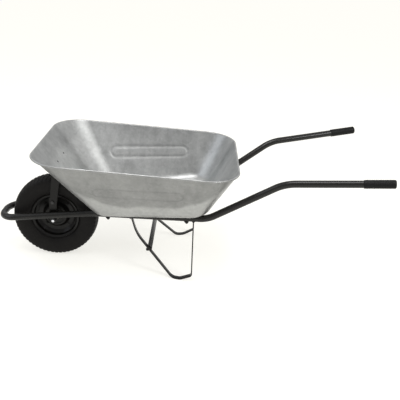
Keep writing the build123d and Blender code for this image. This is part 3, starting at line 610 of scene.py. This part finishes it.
# %% Tray outline
FLOOR_FRONT_X, FLOOR_REAR_X = -0.354, 0.105
FLOOR_FRONT_HALF, FLOOR_REAR_HALF = 0.152, 0.238
FLOOR_CORNER_RADIUS = 0.075
FLOOR_BEND_RADIUS = 0.046
RIM_CORNER_RADIUS = 0.1295
ROLL_RADIUS = 0.0040
SHEET = 0.0014
tray_low, tray_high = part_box("tray")
RIM_FRONT_X = tray_low.x + ROLL_RADIUS
RIM_REAR_X = tray_high.x - ROLL_RADIUS
RIM_HALF = tray_high.y - ROLL_RADIUS
RIM_FRONT_Z = tray_high.z - ROLL_RADIUS
RIM_FRONT_HEIGHT, RIM_REAR_HEIGHT, RIM_LENGTH = 0.5176, 0.4708, 0.808
RIM_FALL = (RIM_FRONT_HEIGHT - RIM_REAR_HEIGHT) / RIM_LENGTH
SEAT_GAP = 0.0001
TUBE_TOP = TUBE_RADIUS / math.cos(math.atan(RAIL_RISE)) + SEAT_GAP
BEND_STEPS, WALL_STEPS, ROLL_STEPS = 12, 46, 16
ROLL_END_ANGLE = math.radians(-105)


def outline(front, rear, front_half, rear_half, radius, side_count, end_count, corner_count):
    """Points and inward normals round a trapezium with rounded corners.

    Each corner is an arc of the given radius that touches both edges, so its centre lies on the line
    that halves the corner's angle, radius / sin(half angle) away. Edges are straight and evenly divided.
    Returns plan points (n, 2) and inward unit normals (n, 2).
    """
    corners = np.array([[front, -front_half], [rear, -rear_half], [rear, rear_half], [front, front_half]])
    counts = [side_count, end_count, side_count, end_count]
    points = []
    normals = []
    arc_ends = []
    for k in range(4):
        here = corners[k]
        back = unit(corners[k - 1] - here)
        ahead = unit(corners[(k + 1) % 4] - here)
        half = 0.5 * math.acos(float(back @ ahead))
        centre = here + unit(back + ahead) * radius / math.sin(half)
        reach = radius / math.tan(half)
        start = here + back * reach
        finish = here + ahead * reach
        a0 = math.atan2(*(start - centre)[::-1])
        turn = math.pi - 2 * half
        angles = a0 + turn * (np.arange(corner_count) + 0.5) / corner_count
        arc = np.stack([np.cos(angles), np.sin(angles)], -1)
        arc_ends.append((finish, start, centre + radius * arc, -arc, ahead))
    for k in range(4):
        finish, _, arc, inward, ahead = arc_ends[k]
        following = arc_ends[(k + 1) % 4][1]
        share = np.linspace(0, 1, counts[k])[:, None]
        side = np.array([-ahead[1], ahead[0]])
        points += [arc, finish + share * (following - finish)]
        normals += [inward, np.repeat(side[None], counts[k], 0)]
    return np.vstack(points), np.vstack(normals)


SIDE_COUNT, END_COUNT, CORNER_COUNT = 150, 26, 20
floor_xy, floor_in = outline(
    FLOOR_FRONT_X, FLOOR_REAR_X, FLOOR_FRONT_HALF, FLOOR_REAR_HALF, FLOOR_CORNER_RADIUS,
    SIDE_COUNT, END_COUNT, CORNER_COUNT)
rim_xy, rim_in = outline(
    RIM_FRONT_X, RIM_REAR_X, RIM_HALF, RIM_HALF, RIM_CORNER_RADIUS,
    SIDE_COUNT, END_COUNT, CORNER_COUNT)
print("columns round the tray", len(rim_xy))

# %% Tray profile
def floor_z(x):
    """Height of the underside of the floor, which lies on the rails."""
    return rail_height(x) + TUBE_TOP


def rim_z(x):
    """Height of the rolled edge's centreline, which falls towards the handles."""
    return RIM_FRONT_Z - RIM_FALL * (x - RIM_FRONT_X)


def lift(xy, height):
    """Plan points with a height for each, as xyz."""
    return np.concatenate([xy, height(xy[:, :1])], -1)


def tray_profile():
    """The inner skin from the edge of the flat floor to the rolled edge, and the roll itself.

    Bend: an arc of radius R that touches the floor and the wall, centre R / sin(half angle) from the
    sharp corner. Wall: a straight line from the bend to the point where it touches the roll. Roll:
    centre + radius * (cos a * outward + sin a * up) with the angle a running over the top.
    """
    sharp = lift(floor_xy, lambda x: floor_z(x) + SHEET)
    roll = lift(rim_xy, rim_z)
    inward = unit(np.concatenate([floor_in, RAIL_RISE * floor_in[:, :1]], -1))
    wall = unit(roll - sharp)
    cosine = np.einsum("ij,ij->i", inward, wall)
    half = 0.5 * np.arccos(cosine)
    reach = (FLOOR_BEND_RADIUS / np.tan(half))[:, None]
    centre = sharp + unit(inward + wall) * (FLOOR_BEND_RADIUS / np.sin(half))[:, None]
    a = unit(sharp + inward * reach - centre)
    b = unit(sharp + wall * reach - centre)
    angle = np.arccos(np.einsum("ij,ij->i", a, b))[:, None]
    share = np.linspace(0, 1, BEND_STEPS)[:, None, None]
    bend = centre + FLOOR_BEND_RADIUS * arc_between(a, b, angle, share)

    outward = unit(np.concatenate([-rim_in, np.zeros((len(rim_in), 1))], -1))
    up = unit(np.cross(outward, np.cross(wall, outward)))
    rise = np.arctan2(np.einsum("ij,ij->i", wall, up), np.einsum("ij,ij->i", wall, outward))
    touch = (math.pi / 2 + rise)[:, None]
    share = np.linspace(0, 1, ROLL_STEPS)[:, None, None]
    angles = touch + share * (ROLL_END_ANGLE - touch)
    rolled = roll + ROLL_RADIUS * (np.cos(angles) * outward + np.sin(angles) * up)
    share = np.linspace(0, 1, WALL_STEPS)[1:-1, None, None]
    straight = bend[-1] + share * (rolled[0] - bend[-1])
    return bend, straight, rolled


bend_rows, wall_rows, roll_rows = tray_profile()
inner_rows = np.concatenate([bend_rows, wall_rows])
print("inner rows", inner_rows.shape)

# %% [markdown]
# The swage is a height added to the wall along its own normal. The distance from a rounded bar, a line
# with a radius, is the distance to the line minus the radius, and the ridge is a smooth bump of that
# distance. A few slow waves a fraction of a millimetre high are added as well, because a pressed sheet
# is never perfectly flat, and its reflections show it.

# %% Tray relief
SWAGE_CENTRE_X, SWAGE_HALF_LENGTH, SWAGE_HALF_HEIGHT = -0.165, 0.150, 0.024
SWAGE_RISE, SWAGE_WIDTH = 0.0012, 0.0050
SWAGE_LIFT = 0.016          # of its centre above the middle of the wall
WALL_SLOPE = 0.86           # height gained for each unit along the leaning wall
SIDE_START, SIDE_FADE = 0.13, 0.004
WAVE_HEIGHTS = (0.0005, 0.0003)
WAVE_FADE = 0.03            # waves die out this near the floor and the rim
FLOOR_MIDDLE_X = -0.13


def grid_normals(rows):
    """Unit normals of a grid of points that wraps round in its second direction."""
    along = np.gradient(rows, axis=0)
    around = np.roll(rows, -1, axis=1) - np.roll(rows, 1, axis=1)
    return unit(np.cross(around, along))


def swage(rows, width):
    """1 on the middle line of each side's obround ring, falling to 0 over about the given width."""
    x, y, z = rows[..., 0], rows[..., 1], rows[..., 2]
    middle = 0.5 * (floor_z(x) + rim_z(x)) + SWAGE_LIFT
    dx = np.maximum(np.abs(x - SWAGE_CENTRE_X) - SWAGE_HALF_LENGTH, 0)
    distance = np.hypot(dx, (z - middle) / WALL_SLOPE) - SWAGE_HALF_HEIGHT
    on_side = 1 / (1 + np.exp(-(np.abs(y) - SIDE_START) / SIDE_FADE))
    return np.exp(-(distance / width) ** 2) * on_side


def relief(rows):
    """Height of the pressed swages and of the sheet's slow waves at each point."""
    x, y, z = rows[..., 0], rows[..., 1], rows[..., 2]
    ridge = SWAGE_RISE * swage(rows, SWAGE_WIDTH)
    waves = WAVE_HEIGHTS[0] * np.sin(9.0 * x + 4.0 * y) * np.sin(13.0 * z + 5.0 * x)
    waves += WAVE_HEIGHTS[1] * np.sin(23.0 * x - 11.0 * y + 17.0 * z)
    fade = np.clip((rim_z(x) - z) / WAVE_FADE, 0, 1) * np.clip((z - floor_z(x)) / WAVE_FADE, 0, 1)
    return ridge + waves * fade


normals = grid_normals(inner_rows)
inside = np.einsum("ijk,ijk->ij", normals, np.array([FLOOR_MIDDLE_X, 0, 0.5]) - inner_rows).mean()
normals = normals if inside > 0 else -normals
raised = inner_rows - normals * relief(inner_rows)[..., None]
outer_rows = raised - normals * SHEET

floor_middle = np.array([FLOOR_MIDDLE_X, 0.0, floor_z(FLOOR_MIDDLE_X) + SHEET])
shares = np.linspace(0.04, 1, 7)[:-1, None, None]
floor_rows = floor_middle + shares * (inner_rows[0] - floor_middle)
under_rows = floor_rows - np.array([0, 0, SHEET])
tray_rings = np.concatenate([floor_rows, raised, roll_rows, outer_rows[::-1], under_rows[::-1]])
tray = skin("pressed_tray", tray_rings)


# Painted light on the tray: under a line low on the walls, which rises towards both ends, the sheet is
# painted brighter as a painted reflection of the floor in the bend. Above the line the outside is painted
# darker, as painted shade.
PAINTED_BAND_HEIGHT, PAINTED_BAND_SOFTNESS = 0.066, 0.003


def end_rise(distance, rise, reach):
    """A parabola that starts at distance 0 and has climbed by rise at the reach."""
    return rise * np.clip(distance / reach, 0, 1.6) ** 2


def painted_light_factor(rows, rows_normals, upper, lower, side_share):
    """Painted light factor: the lower value below the line that bounds a painted reflection band low on the
    walls, the upper value above it.

    The line runs level along the middle and rises as a parabola towards both ends. Walls that face
    sideways are darker by side_share, which is painted shade.
    """
    x, z = rows[..., 0], rows[..., 2]
    wavy = 0.003 * np.sin(31 * x) + 0.002 * np.sin(67 * x + 2 * rows[..., 1])
    line = PAINTED_BAND_HEIGHT + wavy + end_rise(-0.19 - x, 0.064, 0.188) + end_rise(x + 0.03, 0.070, 0.19)
    share = 1 / (1 + np.exp(-(z - floor_z(x) - line) / PAINTED_BAND_SOFTNESS))
    sideways = np.clip((np.abs(rows_normals) - 0.25) / 0.4, 0, 1)
    return (lower + share * (upper - lower)) * (1 - side_share * sideways)


# Painted light factors (upper, lower) for the inside and the outside of the tray, and the share of painted
# shade on inside walls that face sideways.
INSIDE_PAINTED_LIGHT = (1.08, 1.20)
OUTSIDE_PAINTED_LIGHT = (0.55, 0.84)
INSIDE_SIDE_PAINTED_SHADE = 0.42
# Painted shade: the outside of the tray is darkened along the swage's ridge.
SWAGE_PAINTED_SHADE = 0.16
rows_inside = np.concatenate([floor_rows, raised, roll_rows])
rows_outside = np.concatenate([outer_rows[::-1], under_rows[::-1]])
sideways_inside = grid_normals(rows_inside)[..., 1]
sideways_outside = np.zeros(rows_outside.shape[:2])
# One painted light and shade factor per point of the tray, kept as a point attribute that the galvanised
# finish multiplies into its colour. The outside also gets painted shade along the swage.
painted_light_tones = np.concatenate([
    painted_light_factor(rows_inside, sideways_inside, *INSIDE_PAINTED_LIGHT, INSIDE_SIDE_PAINTED_SHADE).ravel(),
    (painted_light_factor(rows_outside, sideways_outside, *OUTSIDE_PAINTED_LIGHT, 0.0)
     * (1 - SWAGE_PAINTED_SHADE * swage(rows_outside, 0.7 * SWAGE_WIDTH))).ravel(),
    INSIDE_PAINTED_LIGHT[1:], OUTSIDE_PAINTED_LIGHT[1:]])
painted_light_attribute = tray.data.attributes.new("painted_light", "FLOAT", "POINT")
painted_light_attribute.data.foreach_set("value", painted_light_tones.astype(np.float32))
place_piece(tray, GALVANISED, "frame", "galvanised_sheet", "tray")

# %% [markdown]
# ## The frame tube
#
# One tube runs from the left grip, down past the tray, round the nose and back to the right grip. Its
# centreline is straight runs joined by arcs that touch them, which is what a tube bender makes. A circle
# carried along it gives the skin. The circle is kept upright with a fixed up direction, which works here
# because the tube never points straight up.

# %% Paths with rounded corners
def rounded_path(corners, radii, arc_steps, run_step):
    """Straight runs joined by tangent arcs.

    At a corner that turns by t, the arc of radius r starts r * tan(t / 2) before it and ends as far
    after it, and its centre is on the halving line, r / cos(t / 2) from the corner.
    """
    corners = [np.array(c, float) for c in corners]
    pieces = [corners[0][None]]
    last = corners[0]
    for k, radius in enumerate(radii, start=1):
        here = corners[k]
        back = unit(corners[k - 1] - here)
        ahead = unit(corners[k + 1] - here)
        turn = math.pi - math.acos(float(np.clip(back @ ahead, -1, 1)))
        reach = radius * math.tan(turn / 2)
        centre = here + unit(back + ahead) * radius / math.cos(turn / 2)
        a = unit(here + back * reach - centre)
        b = unit(here + ahead * reach - centre)
        start = here + back * reach
        count = max(2, int(np.linalg.norm(start - last) / run_step))
        pieces.append(last + np.linspace(0, 1, count)[1:, None] * (start - last))
        share = np.linspace(0, 1, arc_steps)[1:, None]
        pieces.append(centre + radius * arc_between(a, b, turn, share))
        last = pieces[-1][-1]
    count = max(2, int(np.linalg.norm(corners[-1] - last) / run_step))
    pieces.append(last + np.linspace(0, 1, count)[1:, None] * (corners[-1] - last))
    return np.vstack(pieces)


UPRIGHT = np.array([0.0, 0.0, 1.0])


def carried_circle(path, radius, around=40, tangent=None):
    """Rings of a round tube: path + radius * (cos a * side + sin a * top), side = up x tangent.

    The radius is one number or one for each point. The tangent follows the path unless it is given.
    """
    if tangent is None:
        tangent = unit(np.gradient(path, axis=0))
    side = unit(np.cross(UPRIGHT, np.broadcast_to(tangent, path.shape)))
    top_direction = np.cross(tangent, side)
    angle = np.linspace(0, 2 * np.pi, around, endpoint=False)[None, :, None]
    radius = np.broadcast_to(radius, (len(path),))[:, None, None]
    circle = np.cos(angle) * side[:, None] + np.sin(angle) * top_direction[:, None]
    return path[:, None] + radius * circle


half_corners = [
    HANDLE_END,
    UPPER_BEND,
    (LOWER_BEND_X, float(rail_offset(LOWER_BEND_X)), rail_height(LOWER_BEND_X)),
    (SPREAD_X, NOSE_HALF_WIDTH, rail_height(SPREAD_X)),
    (NOSE_X, NOSE_HALF_WIDTH, rail_height(NOSE_X)),
]
mirrored_corners = [(x, -y, z) for x, y, z in reversed(half_corners)]
frame_line = rounded_path(
    half_corners + mirrored_corners, FRAME_BEND_RADII + FRAME_BEND_RADII[::-1], 14, 0.05)
tube = skin("bent_frame_tube", carried_circle(frame_line, TUBE_RADIUS))
place_piece(tube, BLACK_PAINT, "frame", "black_paint", "frame_tube")

# %% [markdown]
# ## Legs and cross bar
#
# Each leg is one length of flat bar, 22 mm wide and 5 mm thick, bent into an open loop: down from the
# rail, a small flat foot, and straight up again. A rounded rectangle is carried along the line, with its
# width always level, as the bar lies on the real one. The cross bar is a plain length of the same stock.

# %% Flat bars
BAR_WIDTH, BAR_THICKNESS, BAR_EDGE = 0.022, 0.005, 0.0012
LEG_LEAN = 0.155
LEG_CORNERS = [(-0.207, None), (-0.183, 0.167), (-0.029, 0.0025),
               (0.004, 0.0025), (0.051, 0.024), (0.051, None)]
LEG_BEND_RADII = (0.150, 0.036, 0.040, 0.013)


def rounded_rectangle(width, thickness, edge, steps=4):
    """Outline (n, 2) of a rectangle with quarter-circle corners."""
    centres = np.array([[1, 1], [-1, 1], [-1, -1], [1, -1]]) * [width / 2 - edge, thickness / 2 - edge]
    angle = np.linspace(0, np.pi / 2, steps)
    quarters = np.arange(4)[:, None] * np.pi / 2 + angle
    arc = edge * np.stack([np.cos(quarters), np.sin(quarters)], -1)
    return (centres[:, None] + arc).reshape(-1, 2)


def leg_offset(x, z):
    """Distance of a leg's middle from the plane of symmetry; the leg leans out below the rail."""
    return rail_offset(x) + LEG_LEAN * (rail_height(x) - z)


def leg_rings(side):
    """Bar outline carried along the leg: width along Y, thickness across the line in side view."""
    line = [(x, 0.0, rail_height(x) if z is None else z) for x, z in LEG_CORNERS]
    path = rounded_path(line, LEG_BEND_RADII, 12, 0.02)
    tangent = unit(np.gradient(path, axis=0))
    across = np.stack([-tangent[:, 2], np.zeros(len(path)), tangent[:, 0]], -1)
    middle = path.copy()
    middle[:, 1] = side * leg_offset(path[:, 0], path[:, 2])
    shape = rounded_rectangle(BAR_WIDTH, BAR_THICKNESS, BAR_EDGE)
    width = np.array([0.0, 1.0, 0.0])
    return middle[:, None] + shape[None, :, :1] * width + shape[None, :, 1:] * across[:, None]


for name, side in (("left", -1), ("right", 1)):
    leg = skin(f"strip_leg_{name}", leg_rings(side))
    place_piece(leg, BLACK_PAINT, "frame", "black_paint", f"leg_{name}")

# %% Straight bars between two points
def straight_bar(start, end, wide, width, thickness):
    """Rings of a bar with slightly softened ends, from start to end; wide is its width's direction."""
    start, end = np.array(start, float), np.array(end, float)
    along = unit(end - start)
    thick = unit(np.cross(along, wide))
    softened = BAR_EDGE * np.array([0.0, 0.3, 1.0])
    steps = np.concatenate([softened, np.linalg.norm(end - start) - softened[::-1]])
    shrink = BAR_EDGE * np.array([1.0, 0.3, 0.0])
    rings = []
    for distance, less in zip(steps, np.concatenate([shrink, shrink[::-1]])):
        shape = rounded_rectangle(width - less, thickness - less, BAR_EDGE)
        rings.append(start + along * distance + shape[:, :1] * wide + shape[:, 1:] * thick)
    return np.array(rings)


bar_low, bar_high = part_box("leg_cross_bar")
bar_middle = np.array(bar_low + bar_high) / 2
(knee_x, knee_z), (toe_x, toe_z) = LEG_CORNERS[1:3]
slope = np.array([toe_x - knee_x, 0, toe_z - knee_z])
cross_bar = skin("cross_bar", straight_bar(
    (bar_middle[0], bar_low.y, bar_middle[2]), (bar_middle[0], bar_high.y, bar_middle[2]),
    unit(slope), BAR_WIDTH, BAR_THICKNESS))
place_piece(cross_bar, BLACK_PAINT, "frame", "black_paint", "leg_cross_bar")

# %% [markdown]
# ## Welds
#
# The legs and the axle brackets are welded to the rails. A weld bead is a thin rod of metal with a ripple
# for each drop that the welder laid down, so each one here is a short tube whose radius waves along its
# length. The beads on a leg follow the round underside of the rail, and those of a bracket lie in the
# narrow groove between the plate and the tube.

# %% Weld beads
BEAD_RADIUS, BEAD_RIPPLE, BEAD_PITCH = 0.0021, 0.00035, 0.0036
PLATE_HALF_WIDTH = 0.015
SADDLE_POINTS, GROOVE_POINTS = 34, 44
BEAD_SINK = 0.0006


def bead(path):
    """Rings of a rippled bead: radius = base + ripple * |sin(pi * length / pitch)|, thin at both ends."""
    steps = np.linalg.norm(np.diff(path, axis=0), axis=1)
    length = np.concatenate([[0.0], np.cumsum(steps)])
    radius = BEAD_RADIUS - BEAD_RIPPLE + 2 * BEAD_RIPPLE * np.abs(np.sin(np.pi * length / BEAD_PITCH))
    ends = np.clip(np.minimum(length, length[-1] - length) / BEAD_RADIUS, 0.15, 1) ** 0.5
    return carried_circle(path, radius * ends, 10)


def saddle_path(x, side, shift):
    """Across the rail's underside: z = centre - sqrt(r^2 - dy^2), shift ahead of or behind the bar."""
    dy = np.linspace(-0.5, 0.5, SADDLE_POINTS) * (BAR_WIDTH - 0.001)
    drop = np.sqrt((TUBE_RADIUS + BEAD_SINK) ** 2 - dy ** 2)
    middle = side * float(rail_offset(x))
    return np.stack([np.full(SADDLE_POINTS, x + shift), middle + dy, rail_height(x) - drop], -1)


def groove_path(side, height):
    """Along the rail beside a bracket plate, where the tube curves away from the plate."""
    x = np.linspace(WHEEL[0] - PLATE_HALF_WIDTH, WHEEL[0] + PLATE_HALF_WIDTH, GROOVE_POINTS)
    gap = NOSE_HALF_WIDTH - math.sqrt(TUBE_RADIUS ** 2 - height ** 2)
    return np.stack([x, np.full(GROOVE_POINTS, side * (gap - BEAD_SINK)), rail_height(x) + height], -1)


beads = []
for side in (-1, 1):
    for x in (LEG_CORNERS[0][0], LEG_CORNERS[-1][0]):
        for shift in (-0.0036, 0.0036):
            beads.append(bead(saddle_path(x, side, shift)))
    for height in (-0.0062, 0.0062):
        beads.append(bead(groove_path(side, height)))
welds = joined("weld_beads", beads)
place_piece(welds, BLACK_PAINT, "frame", "black_paint")

# %% [markdown]
# ## The tyre
#
# A barrow tyre has a round section, a rib on each sidewall and a tread of blocks. A section carried round
# the axle gives the body. For the tread, the grid itself has its lines where the blocks start and end, so
# the block walls are steep and crisp: each pitch has seven columns, four on the block and three in the
# groove. The two halves of the tread are shifted against each other and slanted, as real ones are.

# %% Tyre section
TREAD_PITCHES = 60
TREAD_DEPTH = 0.0016


def smooth_curve(points, count):
    """A smooth curve through a few points: cubic Hermite with tangents from the neighbours."""
    points = np.array(points, float)
    tangent = np.gradient(points, axis=0)
    where = np.linspace(0, len(points) - 1, count)
    k = np.minimum(where.astype(int), len(points) - 2)
    t = (where - k)[:, None]
    h0, h1 = (1 + 2 * t) * (1 - t) ** 2, t * (1 - t) ** 2
    h2, h3 = t * t * (3 - 2 * t), t * t * (t - 1)
    return h0 * points[k] + h1 * tangent[k] + h2 * points[k + 1] + h3 * tangent[k + 1]


def tyre_section():
    """Half section (distance from middle, radius): inside crown, bead, sidewall, shoulder, crown."""
    inner = smooth_curve([(0, 0.171), (0.018, 0.1695), (0.032, 0.163), (0.0390, 0.145), (0.0365, 0.124),
                          (0.025, 0.109), (0.0205, 0.100)], 16)
    bead_rows = np.array([(0.0200, 0.0955), (0.0215, 0.0943), (0.0262, 0.0948), (0.0272, 0.0965),
                          (0.0274, 0.1008)])
    side = smooth_curve([(0.0340, 0.1058), (0.0382, 0.1100), (0.0428, 0.1210), (0.0456, 0.1370),
                         (0.0458, 0.1480), (0.0448, 0.1590), (0.0430, 0.1660)], 30)
    tread = smooth_curve([(0.0414, 0.1700), (0.0370, 0.1738), (0.0285, 0.1768), (0.0180, 0.1788),
                          (0.0090, 0.1797), (0.0, 0.1800)], 26)
    return inner, bead_rows, side, tread


inner, bead_rows, side_wall, tread = tyre_section()
half_section = np.vstack([inner, bead_rows, side_wall, tread])
other_half = half_section[1:-1][::-1] * [-1, 1]
section = np.vstack([half_section, other_half])
print("section points", len(section))

# %% Tyre tread and sidewall relief
COLUMN_SHARES = np.array([0.0, 0.16, 0.34, 0.52, 0.58, 0.76, 0.94])
GROOVE_START = 0.55
RIB_RISE = 0.0007
SIDE_RIBS = ((0.1560, 0.0011, 1.0), (0.1235, 0.0011, 1.0), (0.1155, 0.0009, 0.8))  # radius, width, share


def tyre_grid():
    """rings[column, section point]: radius lowered by the groove depth, with slanted columns."""
    columns = (np.arange(TREAD_PITCHES)[:, None] + COLUMN_SHARES).ravel() / TREAD_PITCHES * 2 * np.pi
    in_groove = np.tile(COLUMN_SHARES > GROOVE_START, TREAD_PITCHES)
    y, r = section[:, 0], section[:, 1]
    height = np.clip((r - 0.1645) / 0.004, 0, 1)
    outer = np.zeros(len(section))
    outer[len(inner) + len(bead_rows):len(half_section)] = 1
    outer[len(half_section):len(half_section) + len(tread) + len(side_wall) - 1] = 1
    centre_rib = np.clip((np.abs(y) - 0.0045) / 0.0008, 0, 1)
    ring_groove = np.exp(-((np.abs(y) - 0.0165) / 0.0015) ** 4)
    pitch = 2 * np.pi / TREAD_PITCHES
    slant = 0.55 * pitch * np.clip(np.abs(y) / 0.03, 0, 1) + 0.5 * pitch * (y > 0) * centre_rib
    depth = TREAD_DEPTH * outer * height * np.maximum(in_groove[:, None] * centre_rib, ring_groove)
    ribs = RIB_RISE * outer * sum(
        share * np.exp(-((r - place) / width) ** 2) for place, width, share in SIDE_RIBS)
    angle = columns[:, None] + slant
    radius = r - depth * np.clip((r - 0.155) / 0.02, 0.35, 1)
    wide = y * (1 + ribs / 0.04 - 0.35 * depth / 0.04)
    return np.stack([WHEEL[0] + radius * np.cos(angle), WHEEL[1] + wide + 0 * angle,
                     WHEEL[2] + radius * np.sin(angle)], -1)


tyre = closed_ring("tread_tyre", tyre_grid())
place_piece(tyre, TYRE_RUBBER, "wheel", "tyre_rubber", "tyre")

# %% [markdown]
# ## Rim halves
#
# The wheel's two halves are dished discs pressed from 2 mm sheet, with a raised ring of relief and a
# rolled flange that holds the tyre. They are turned shapes, so a profile spun round the axle makes each.

# %% Turned shapes
RIM_SHEET = 0.002


def turned(name, profile, side, steps=96):
    """A closed profile (distance from middle, radius) spun round the wheel's axle."""
    angle = np.linspace(0, 2 * np.pi, steps, endpoint=False)[:, None]
    y = WHEEL[1] + side * profile[:, 0] + 0 * angle
    x = WHEEL[0] + profile[:, 1] * np.cos(angle)
    z = WHEEL[2] + profile[:, 1] * np.sin(angle)
    return closed_ring(name, np.stack([x, y, z], -1))


def sheet_profile(line, thickness):
    """Closed outline of a bent sheet: the line offset by half its thickness to both sides."""
    tangent = unit(np.gradient(line, axis=0))
    normal = np.stack([-tangent[:, 1], tangent[:, 0]], -1) * thickness / 2
    return np.vstack([line + normal, (line - normal)[::-1]])


def rim_line():
    """Middle line of one rim half, rounded at each bend."""
    corners = [(0.0200, 0.0181), (0.0200, 0.0300), (0.0175, 0.0345), (0.0200, 0.0390), (0.0200, 0.0450),
               (0.00105, 0.0580), (0.00105, 0.0760), (0.0120, 0.0900), (0.0280, 0.0925), (0.0320, 0.1010)]
    radii = [0.002, 0.003, 0.002, 0.004, 0.004, 0.0035, 0.0035, 0.003]
    flat = [(y, r, 0.0) for y, r in corners]
    return rounded_path(flat, radii, 7, 0.006)[:, :2]


for name, side in (("left", -1), ("right", 1)):
    rim = turned(f"pressed_rim_{name}", sheet_profile(rim_line(), RIM_SHEET), side)
    place_piece(rim, WHEEL_AND_SHADE_PAINT, "wheel", "black_paint", f"wheel_rim_{name}")

# %% [markdown]
# ## Grips
#
# The grips are soft sleeves pushed over the tube's ends. They have a rounded mouth where they start, a
# closed rounded end and shallow rings that keep a wet hand from slipping.

# %% Grips
GRIP_LENGTH, GRIP_BODY_RADIUS = 0.115, 0.0163
GRIP_END_WALL, GRIP_CAP = 0.004, 0.006
GRIP_MOUTH = [(0.0, 0.0142), (0.0005, 0.0152), (0.0020, 0.0160), (0.0050, 0.0163), (0.0064, 0.0163)]
RING_DEPTH, RING_PITCH, RINGS_FROM, RINGS_TO = 0.00022, 0.0078, 0.012, 0.094


def grip_rings(side):
    """Radius as a function of distance: rounded mouth, ribbed body, rounded closed end."""
    end = np.array(HANDLE_END) * [1, side, 1]
    bend = np.array(UPPER_BEND) * [1, side, 1]
    along = unit(end - bend)
    start = end - along * (GRIP_LENGTH - GRIP_END_WALL)
    body = np.linspace(0.0075, 0.106, 120)
    wave = np.clip(np.sin((body - RINGS_FROM) * 2 * np.pi / RING_PITCH) * 3, -1, 1)
    plain = (body > RINGS_TO) | (body < RINGS_FROM)
    ribs = GRIP_BODY_RADIUS + np.where(plain, 0.0, RING_DEPTH * wave)
    turn = np.linspace(0, np.pi / 2, 9)
    cap_x = GRIP_LENGTH - GRIP_CAP + GRIP_CAP * np.sin(turn)
    cap_r = 0.0102 + 0.0062 * np.cos(turn)
    flat = np.array([[GRIP_LENGTH, 0.006]])
    line = np.vstack([GRIP_MOUTH, np.stack([body, ribs], -1), np.stack([cap_x, cap_r], -1), flat])
    path = start + line[:, :1] * along
    return carried_circle(path, line[:, 1], tangent=along)


for name, side in (("left", -1), ("right", 1)):
    grip = skin(f"sleeve_grip_{name}", grip_rings(side))
    place_piece(grip, GRIP_RUBBER, "frame", "grip_rubber", f"grip_{name}")
